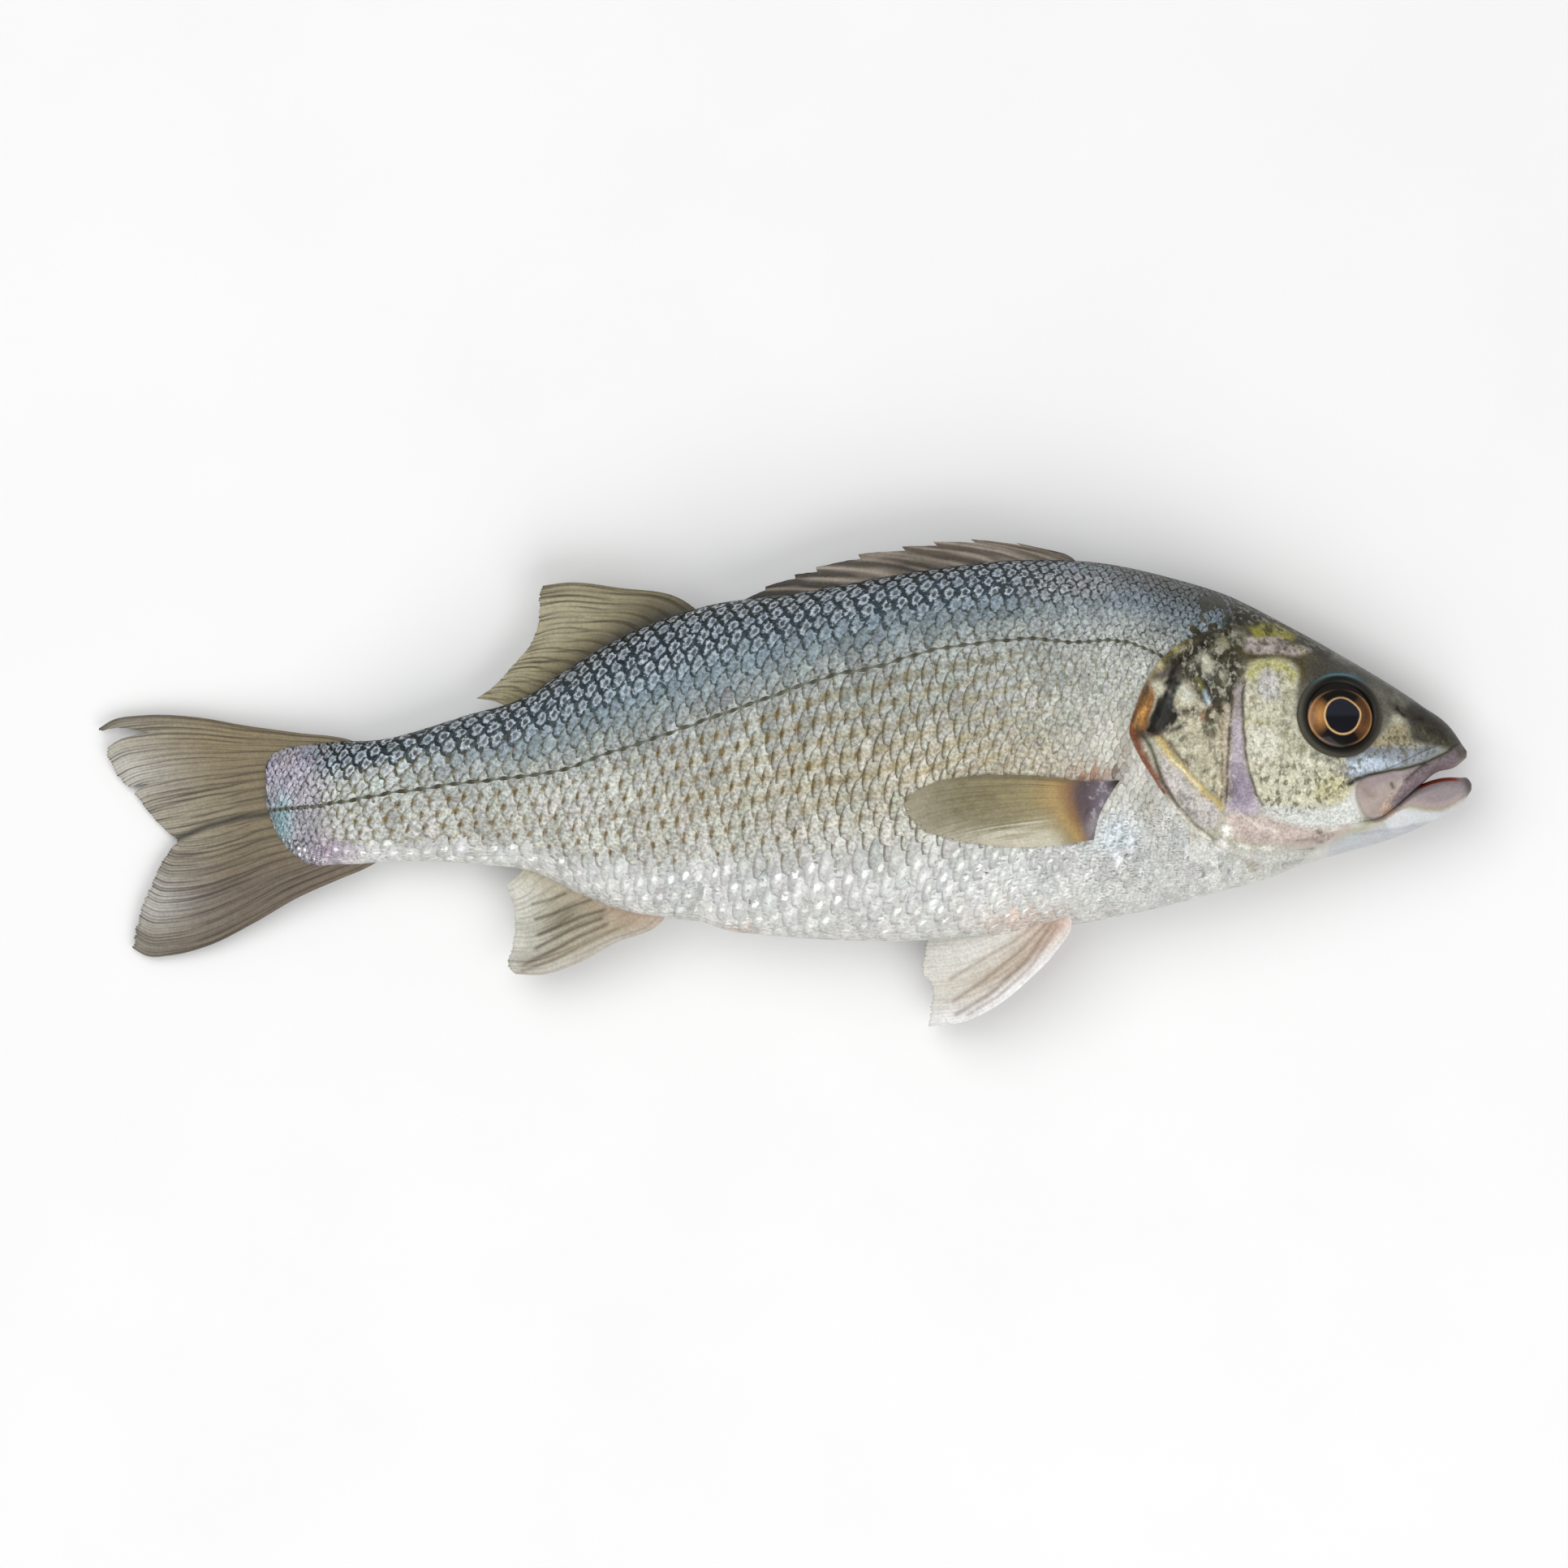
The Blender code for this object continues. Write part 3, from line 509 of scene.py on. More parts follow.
# Colours across the flank, from the back (1) over the dark line (0) to the belly (-1), and patches:
# (bright, ground, strength, (x, y, reach along x, reach along y)).
flankColours = dict(
    bright=[
        (1.0, "#2c2e2e"), (0.88, "#545d64"), (0.62, "#64798b"), (0.38, "#728592"), (0.08, "#939a99"),
        (-0.12, "#a7aba7"), (-0.35, "#aeaea5"), (-0.55, "#b6b7b1"), (-0.7, "#c9cbc9"), (-1.0, "#d1d0ca"),
    ],
    ground=[
        (1.0, "#15160f"), (0.85, "#1f231f"), (0.62, "#2c3941"), (0.38, "#414e53"), (0.08, "#5d6055"),
        (-0.12, "#948f77"), (-0.35, "#a39b80"), (-0.5, "#b8b5a9"), (-0.6, "#c7c8c5"), (-1.0, "#cfcec9"),
    ],
    patches=[
        ("#6b675f", "#201d17", 0.50, (82.0, 34.0, 13.0, 5.0)),
        ("#dfe7ec", "#d0d9e0", 0.80, (73.0, -10.5, 3.8, 4.6)),
        ("#b5a89d", "#3e362f", 0.50, (62.0, 43.0, 12.0, 3.5)),
        ("#adb4b5", "#8a9090", 0.60, (68.0, 35.0, 12.0, 3.5)),
        ("#d2d2cc", "#b9b7aa", 0.60, (68.0, 8.0, 7.0, 12.0)),
        ("#c8cac5", "#b6b3a2", 0.60, (-46.0, -4.0, 20.0, 9.0)),
        ("#d8b9a6", "#cfa893", 0.60, (51.0, -29.6, 8.5, 2.2)),
        ("#c5bda6", "#a2936e", 0.50, (38.0, 2.0, 38.0, 9.0)),
        ("#d3dde1", "#cad6db", 0.85, (71.5, -11.5, 4.5, 3.0)),
        ("#a07458", "#8a5a3e", 0.90, (66.5, 1.6, 4.5, 1.9)),
        ("#5a3f3a", "#4a302c", 0.75, (72.3, 2.2, 1.5, 1.8)),
        ("#84786a", "#5b5044", 0.60, (74.0, 6.5, 2.2, 3.5)),
        ("#8f8d7c", "#77735c", 0.60, (79.0, -4.0, 2.5, 6.0)),
        ("#c08a80", "#ad6157", 0.80, (-12.0, -32.9, 4.5, 0.9)),
        ("#a79fae", "#57525f", 0.70, (-109.0, 1.0, 5.0, 7.0)),
        ("#b196b4", "#7a6480", 0.60, (-98.5, -15.0, 5.0, 4.0)),
        ("#93b9bf", "#557a82", 0.80, (-109.5, -8.0, 2.4, 6.0)),
    ],
)


# Colour at a value from a list of (value, colour) stops, highest first, blended in linear light.
def stopsAt(stops, value):
    places = np.array([place for place, _ in stops])[::-1]
    colours = np.array([paint(code) for _, code in stops])[::-1]
    return np.stack([np.interp(value, places, colours[:, k]) for k in range(3)], axis=-1)


# Bright and ground colours and the marks of the flank at a place; across is 1 at the back and -1 at the
# belly. A zone's weight is a product of eased steps along x and across.
def flankLook(x, y, across):
    bright = stopsAt(flankColours["bright"], across)
    ground = stopsAt(flankColours["ground"], across)
    tail = ease((-58.0 - x) / 30.0)  # paler towards the tail
    bright = mixed(bright, "#c3c6c3", tail * ease((across + 0.8) / 0.4) * ease((0.65 - across) / 0.3) * 0.75)
    ground = mixed(ground, "#86815f", tail * ease((0.6 - across) / 0.4) * ease((across + 0.7) / 0.3) * 0.75)
    nape = ease((x - 60.0) / 24.0) * ease((across - 0.30) / 0.4)
    bright = mixed(bright, "#545450", nape * 0.95)
    ground = mixed(ground, "#100f0b", nape * 0.95)
    # Painted light: a soft pearly band of light along the shoulder raises the bright colour.
    shoulderLightBand = ease((x - 40.0) / 30.0) * ease((across + 0.25) / 0.2) * ease((0.35 - across) / 0.3)
    bright = mixed(bright, "#b4b8b4", shoulderLightBand * 0.7)
    breast = ease((x - 56.0) / 22.0) * ease((-0.22 - across) / 0.22)
    bright = mixed(bright, "#cfd0cd", breast)
    ground = mixed(ground, "#c4c4be", breast)
    sheath = ease((-97.0 - x) / 7.0)  # the small scales at the root of the tail
    bright = mixed(bright, "#a9a6af", sheath * 0.85)
    ground = mixed(ground, "#3a3b40", sheath * 0.95)
    for brightCode, groundCode, strength, (px, py, reachX, reachY) in flankColours["patches"]:
        weight = strength * np.exp(-((x - px) / reachX) ** 2 - ((y - py) / reachY) ** 2)
        bright, ground = mixed(bright, brightCode, weight), mixed(ground, groundCode, weight)
    # Marks: ochre dashes, rings on the back, pearls on the belly, a dark net and pale stripes.
    below = ease((0.02 - across) / 0.08) * ease((across + 0.66) / 0.10)
    dash = below * ease((62.0 - x) / 30.0) * ease((x + 103.0) / 12.0)
    above = ease((0.5 - across) / 0.2) * ease((across - 0.02) / 0.05) * ease((-20.0 - x) / 40.0)
    dash = np.maximum(dash, 0.45 * above)
    ring = ease((across - 0.25) / 0.25) * (0.15 + 0.85 * ease((74.0 - x) / 30.0)) * ease((x + 104.0) / 8.0)
    ring = ring * (1 - 0.75 * ease((across - 0.90) / 0.07))
    pearl = ease((-0.60 - across) / 0.07) * ease((across + 0.97) / 0.1) * ease((84.0 - x) / 40.0)
    net = 0.04 + 0.6 * np.exp(-((x - 26.0) / 32.0) ** 2) * below
    stripe = 0.25 + 0.5 * ease((x + 40.0) / 50.0) * ease((66.0 - x) / 24.0)
    return bright, ground, dash, ring, pearl, net, stripe * below


# Share of the way from the dark line to the back (up to 1) or to the belly (down to -1).
def acrossShare(table, x, arc):
    top = np.interp(x, table["stations"], table["top"])
    low = np.interp(x, table["stations"], table["low"])
    return np.clip(np.where(arc >= 0, arc / top, -arc / low), -1.0, 1.0)


# Scales of one flank. In row and spacing units a scale is the leaf p = front - v (front + rear(u)),
# r = height * u, with rear(u) = reachBack * (1 - |u|^2.3)^0.5, and it lifts by v^1.4 towards its rear edge.
def scalesOf(side):
    table = flankTable(side)
    rows = scaleRows
    random = np.random.default_rng(rows["seed"] + side)
    # count is how many scales fit from the tail to x; every other row stands half a scale further on.
    fine = np.linspace(flankStart, flankEnd, 2001)
    slope = np.gradient(smooth(flankLine, fine), fine)
    rate = np.sqrt(1 + slope ** 2) / smooth(rows["spacing"], fine)
    count = np.r_[0.0, np.cumsum((rate[1:] + rate[:-1]) / 2 * np.diff(fine))]
    row, number = np.meshgrid(np.arange(-38, 30), np.arange(-3, int(count[-1]) + 4), indexing="ij")
    p = (number + 0.5 * (row % 2) + rows["lean"] * row).ravel()
    row = row.astype(float).ravel()
    x = np.interp(p, count, fine)
    arc = rowArc(x, row)
    top = np.interp(x, table["stations"], table["top"])
    low = np.interp(x, table["stations"], table["low"])
    y = onFlank(table, x, arc, 0 * x)[..., 1]
    limits = np.array(sorted(scaleLimit))
    kept = (arc < top + 0.8) & (arc > low - 0.8) & (p > 0.6) & (p < count[-1])
    kept &= x < np.interp(y, limits[:, 0], limits[:, 1])
    row, p = row[kept], p[kept]
    amount = len(p)
    # Middle of each scale, where its colours are read.
    p = p + random.normal(0, rows["jitter"], amount)
    row = row + random.normal(0, rows["jitter"] * 0.7, amount)
    cx = np.interp(p - 0.25, count, fine)
    cArc = rowArc(cx, row)
    across = acrossShare(table, cx, cArc)
    cy = onFlank(table, cx, cArc, 0 * cx)[..., 1]
    bright, ground, dash, ring, pearl, net, stripe = flankLook(cx, cy, across)
    # One leaf, the same for all scales; its last row is the edge that turns down to the skin.
    u = np.linspace(-1.0, 1.0, 7)
    v = np.array([0.0, 0.42, 0.74, 1.0, 1.0])
    vGrid, uGrid = np.meshgrid(v, u, indexing="ij")
    rear = rows["reachBack"] * np.sqrt(np.clip(1 - np.abs(uGrid) ** 2.3, 0, 1))
    front = rows["reachFront"] * (1 - 0.35 * uGrid ** 2)
    alongLeaf = front - vGrid * (front + rear)
    acrossLeaf = rows["halfHeight"] * uGrid
    grow = random.normal(1.0, 0.03, amount)[:, None, None]
    rowGrid = row[:, None, None] + acrossLeaf[None] * grow
    pGrid = p[:, None, None] + alongLeaf[None] * grow + rows["lean"] * acrossLeaf[None]
    xGrid = np.interp(pGrid, count, fine)
    low, high = rows["lift"]
    lift = low + (high - low) * vGrid[None] ** 1.4 - 0.05 * uGrid[None] ** 2
    lift = lift + random.uniform(-0.03, 0.04, amount)[:, None, None] * vGrid[None]
    lift[:, -1, :] -= rows["edgeDrop"]
    # Grain and relief fade towards the smooth belly and breast.
    belly, breast = ease((-0.5 - across) / 0.15), ease((-0.05 - across) / 0.3) * ease((cx - 56.0) / 18.0)
    texture = 1 - 0.65 * np.maximum(belly, breast)
    flatter = (1 - 0.90 * ease((-0.42 - across) / 0.15)) * (1 - 0.75 * ease((cx - 36.0) / 24.0))
    flatter = flatter[:, None, None]
    lift = lift * flatter * np.clip(smooth(rows["spacing"], xGrid) / 3.5, 0.45, 1.1)
    points = onFlank(table, xGrid, rowArc(xGrid, rowGrid), lift)
    # Each scale differs a little from its neighbours in tone, hue and strength of marks.
    tone = 1 + 0.10 * softNoise(cx, cy, 8.0, 3) + 0.07 * softNoise(cx, cy, 3.0, 4)
    tone = tone + random.normal(0, 0.08, amount)
    hue = random.normal(0, 1, (amount, 3)) * (0.012 + 0.04 * ease((across - 0.5) / 0.3))[:, None]
    bright = bright * (tone[:, None] + hue)
    ground = ground * (1 + random.normal(0, 0.10, amount))[:, None]
    dash = np.clip(dash * random.uniform(0.45, 1.2, amount) * (1 - 0.5 * ease((cx + 5.0) / 35.0)), 0, 1)
    ring = np.clip(ring * random.uniform(0.7, 1.2, amount), 0, 1)
    pearl = np.clip(pearl * random.uniform(0.35, 1.1, amount), 0, 1)
    stripe = np.clip(stripe * random.uniform(0.6, 1.2, amount), 0, 1)
    spread = lambda values: np.repeat(values, vGrid.size, axis=0)
    leaf = np.broadcast_to(np.stack([alongLeaf, acrossLeaf, vGrid], axis=-1)[None], (amount, *vGrid.shape, 3))
    single = gridFaces(len(v), len(u), turned=side < 0)
    faces = (single[None] + (np.arange(amount) * vGrid.size)[:, None, None]).reshape(-1, 4)
    return dict(
        points=points.reshape(-1, 3), faces=faces, leaf=leaf.reshape(-1, 3),
        tint=spread(np.concatenate([bright, stripe[:, None]], axis=1)),
        ground=spread(np.concatenate([ground, texture[:, None]], axis=1)),
        marks=spread(np.stack([dash, ring, pearl, net], axis=-1)), amount=amount, table=table,
    )


scaleFinish = {
    "Metallic": 0.0, "Coat Weight": 0.03, "Coat Roughness": 0.25, "Specular IOR Level": 0.12,
    "roughness": (0.40, 0.60), "wetSize": 6.0, "grainSize": 0.45, "grainDepth": 0.3,
    "speckSize": 0.75, "speckDepth": 0.38,
    "dashColour": "#735c29", "pearlColour": "#fbfbf6", "ringColour": "#d0d8de", "ringCentre": "#1e252a",
    "netColour": "#5d5744",
}


# Finish of the scales: ovals, rings, dashes and pearls drawn from each scale's own (along, across, v).
def scaleMaterial(finish):
    material, tree, shader, place = startMaterial("scaleSkin", finish)
    leaf = addNode(tree, "ShaderNodeSeparateXYZ", None, i0=layerNode(tree, "leaf").outputs["Vector"])
    alongLeaf, acrossLeaf, v = leaf.outputs[0], leaf.outputs[1], leaf.outputs[2]
    tintLayer, groundLayer, marksLayer = (layerNode(tree, key) for key in ("tint", "ground", "marks"))
    marks = addNode(tree, "ShaderNodeSeparateColor", None, i0=marksLayer.outputs["Color"])
    dash, ring, pearl, net = marks.outputs[0], marks.outputs[1], marks.outputs[2], marksLayer.outputs["Alpha"]
    stripe = tintLayer.outputs["Alpha"]
    wobble = mathNode(tree, "MULTIPLY_ADD", noiseNode(tree, place, 0.8, 3.0), 1.5, -0.75)
    product = lambda first, second: mathNode(tree, "MULTIPLY", first, second)

    # How far a place is from the middle of an oval with these half axes, 1 at its edge.
    def ovalAt(middle, halfAlong, halfAcross):
        first = mathNode(tree, "DIVIDE", mathNode(tree, "SUBTRACT", alongLeaf, middle), halfAlong)
        second = mathNode(tree, "DIVIDE", acrossLeaf, halfAcross)
        squares = mathNode(tree, "ADD", product(first, first), product(second, second))
        return mathNode(tree, "ADD", mathNode(tree, "SQRT", squares), wobble)

    smaller = mathNode(tree, "MULTIPLY_ADD", ring, 0.58, 1.0)
    oval = stepNode(tree, product(ovalAt(-0.24, 0.52, 0.82), smaller), 1.15, 0.70)
    nearJoint = mathNode(tree, "ABSOLUTE", mathNode(tree, "ADD", alongLeaf, 0.24))
    height = mathNode(tree, "ADD", mathNode(tree, "ABSOLUTE", acrossLeaf), product(wobble, 0.55))
    outsideStripe = stepNode(tree, mathNode(tree, "MULTIPLY_ADD", nearJoint, -0.25, height), 0.02, 0.36)
    plainPart = product(oval, mathNode(tree, "SUBTRACT", 1.0, stripe))
    body = mathNode(tree, "ADD", plainPart, product(outsideStripe, stripe))
    colour = mixNode(tree, body, groundLayer.outputs["Color"], tintLayer.outputs["Color"])
    colour = mixNode(tree, product(product(oval, ring), 0.58), colour, tuple(paint(finish["ringColour"])))
    centre = stepNode(tree, ovalAt(-0.22, 0.20, 0.30), 1.15, 0.45)
    colour = mixNode(tree, product(product(centre, ring), 0.85), colour, tuple(paint(finish["ringCentre"])))
    spot = stepNode(tree, ovalAt(-0.30, 0.22, 0.25), 1.2, 0.6)
    colour = mixNode(tree, product(spot, pearl), colour, tuple(paint(finish["pearlColour"])))
    rearDash = stepNode(tree, ovalAt(-0.72, 0.22, 0.28), 1.25, 0.5)
    frontDash = stepNode(tree, ovalAt(0.24, 0.14, 0.24), 1.25, 0.55)
    dashed = product(mathNode(tree, "MAXIMUM", rearDash, frontDash), dash)
    colour = mixNode(tree, product(dashed, 0.8), colour, tuple(paint(finish["dashColour"])))
    rim = product(stepNode(tree, v, 0.86, 0.97), net)
    colour = mixNode(tree, rim, colour, tuple(paint(finish["netColour"])))
    grainy = mottled(tree, colour, place, finish["speckSize"], finish["speckDepth"], 2.0)
    colour = mixNode(tree, groundLayer.outputs["Alpha"], colour, grainy)
    colour = mottled(tree, colour, place, 2.4, 0.10)
    tree.links.new(colour, shader.inputs["Base Color"])
    finishSurface(tree, shader, place, finish)
    return material


scaleSkinMaterial = scaleMaterial(scaleFinish)
flanks = {}
for side, word in sideNames.items():
    made = scalesOf(side)
    flanks[side] = made["table"]
    addPiece(
        f"scales_{word}", made["points"], made["faces"], scaleSkinMaterial, "skin",
        leaf=made["leaf"], tint=made["tint"], ground=made["ground"], marks=made["marks"],
    )
    print(f"laid {made['amount']} scales on the {word} flank")


# Raised and sunk lines of the head: (height, width, line).
headLines = [
    (-0.40, 1.3, [(98.5, 20.0), (98.3, 12.0), (98.4, 6.0), (98.9, 0.0), (99.8, -4.5)]),
    (0.30, 0.6, [(96.8, 18.0), (96.0, 8.0), (95.6, -3.0)]),
    (0.60, 0.8, [(81.0, 9.4), (83.5, 6.2), (86.5, 3.2), (89.5, 0.2), (92.5, -2.9), (94.6, -4.9)]),
    (-0.60, 1.2, [(84.3, 22.3), (82.7, 18.5), (81.4, 14.5), (80.2, 12.3)]),
    (-0.40, 0.9, [(93.5, 31.0), (90.0, 29.2), (87.0, 27.4), (84.6, 24.8)]),
    (0.50, 1.9, [(86.4, 20.4), (88.2, 19.0)]),
    (0.45, 1.3, [(91.4, 27.0), (91.9, 25.0)]),
    (0.35, 1.2, [(94.7, 30.8), (95.4, 30.0)]),
    (0.35, 1.1, [(95.0, -8.0), (99.5, -11.6), (106.0, -13.6), (116.0, -13.2)]),
    (-0.40, 0.7, [(94.0, -10.2), (99.0, -13.6), (106.0, -15.6), (116.0, -14.8), (128.0, -11.6)]),
    (0.35, 0.8, [(94.5, -12.2), (100.0, -15.4), (107.0, -17.0), (117.0, -15.8)]),
    (-0.30, 0.6, [(104.0, -5.2), (108.0, -8.4), (113.0, -9.8), (120.0, -9.8), (125.5, -8.6)]),
    (-0.40, 0.6, [(122.4, -0.1), (126.4, 1.4), (133.0, 2.9), (139.4, 4.5), (144.4, 7.0), (147.0, 8.8)]),
    (0.45, 1.6, [(116.0, 6.2), (121.0, 4.6), (127.0, 4.6), (133.0, 5.6), (139.0, 6.8)]),
    (-0.35, 1.2, [(129.5, 9.0), (132.5, 10.5), (137.0, 10.8), (142.0, 9.6)]),
    (0.65, 1.7, [(148.2, 6.4), (144.5, 5.0), (141.0, 3.2), (138.0, 1.0), (135.5, -1.2)]),
    (-0.40, 0.5, [(139.4, 4.4), (137.5, 2.9), (135.6, 1.2), (134.4, -1.4)]),
    (0.60, 1.5, [(149.0, -0.8), (145.0, -2.0), (140.5, -2.4), (136.8, -3.2)]),
    (-0.35, 0.5, [
        (133.4, -5.8), (136.0, -4.9), (140.0, -5.2), (143.0, -5.5), (146.0, -4.2), (148.6, -2.8),
    ]),
    (-0.60, 0.6, [(133.2, 16.2), (133.9, 15.4), (134.7, 14.6)]),
    (-0.35, 0.6, [(136.6, 13.9), (138.3, 13.7)]),
    (-0.35, 1.2, [(113.0, 26.0), (106.5, 27.8), (100.0, 28.2), (94.0, 31.6)]),
]


# Relief of the head's skin: fine lumps plus the sum of all raised and sunk lines.
def headRelief(x, y):
    total = 0.12 * softNoise(x, y, 2.6, 21) + 0.05 * softNoise(x, y, 1.1, 22)
    for height, width, line in headLines:
        total = total + height * ridgeOn(line, x, y, width)
    return total


cheekOutline = [
    (100.2, 22.5), (101.4, 24.6), (103.5, 26.0), (106.0, 26.6), (108.6, 25.9), (110.6, 24.2), (111.0, 22.0),
    (110.5, 18.5), (110.6, 15.0), (111.8, 12.2), (113.3, 9.8), (115.5, 8.2), (118.5, 7.0), (121.0, 6.4),
    (122.0, 2.6), (123.4, 0.0), (122.6, -3.0), (119.0, -4.6), (112.0, -5.0), (105.0, -4.6), (103.0, -3.6),
    (101.8, -1.0), (100.8, 3.0), (100.1, 7.0), (99.8, 11.0), (99.7, 17.0),
]
opercleOutline = [
    (83.5, 22.0), (90.5, 23.0), (93.0, 17.0), (96.0, 16.0), (96.0, -4.0), (93.0, -4.4), (89.4, 0.4),
    (85.4, 4.0), (82.0, 8.6), (83.0, 14.0),
]
crownOutline = [
    (86, 37), (93, 35.0), (98, 34.8), (103, 34.4), (108, 32.4), (113, 29.8), (116, 27.4), (121, 25.2),
    (127, 22.8), (131, 20.4), (134, 18.0), (138, 14.8), (142, 12.2), (146.5, 9.4), (150, 6.0), (154, 9),
    (143, 24), (122, 40), (100, 54), (84, 50),
]
suborbitalOutline = [
    (117.0, 6.6), (120.0, 6.8), (125.0, 7.4), (129.0, 8.0), (134.0, 8.0), (139.0, 7.5), (143.0, 7.6),
    (141.5, 5.9), (138.0, 4.5), (134.0, 3.4), (129.0, 2.6), (125.8, 1.6), (122.6, 1.2), (120.0, 3.0),
    (117.6, 4.6),
]
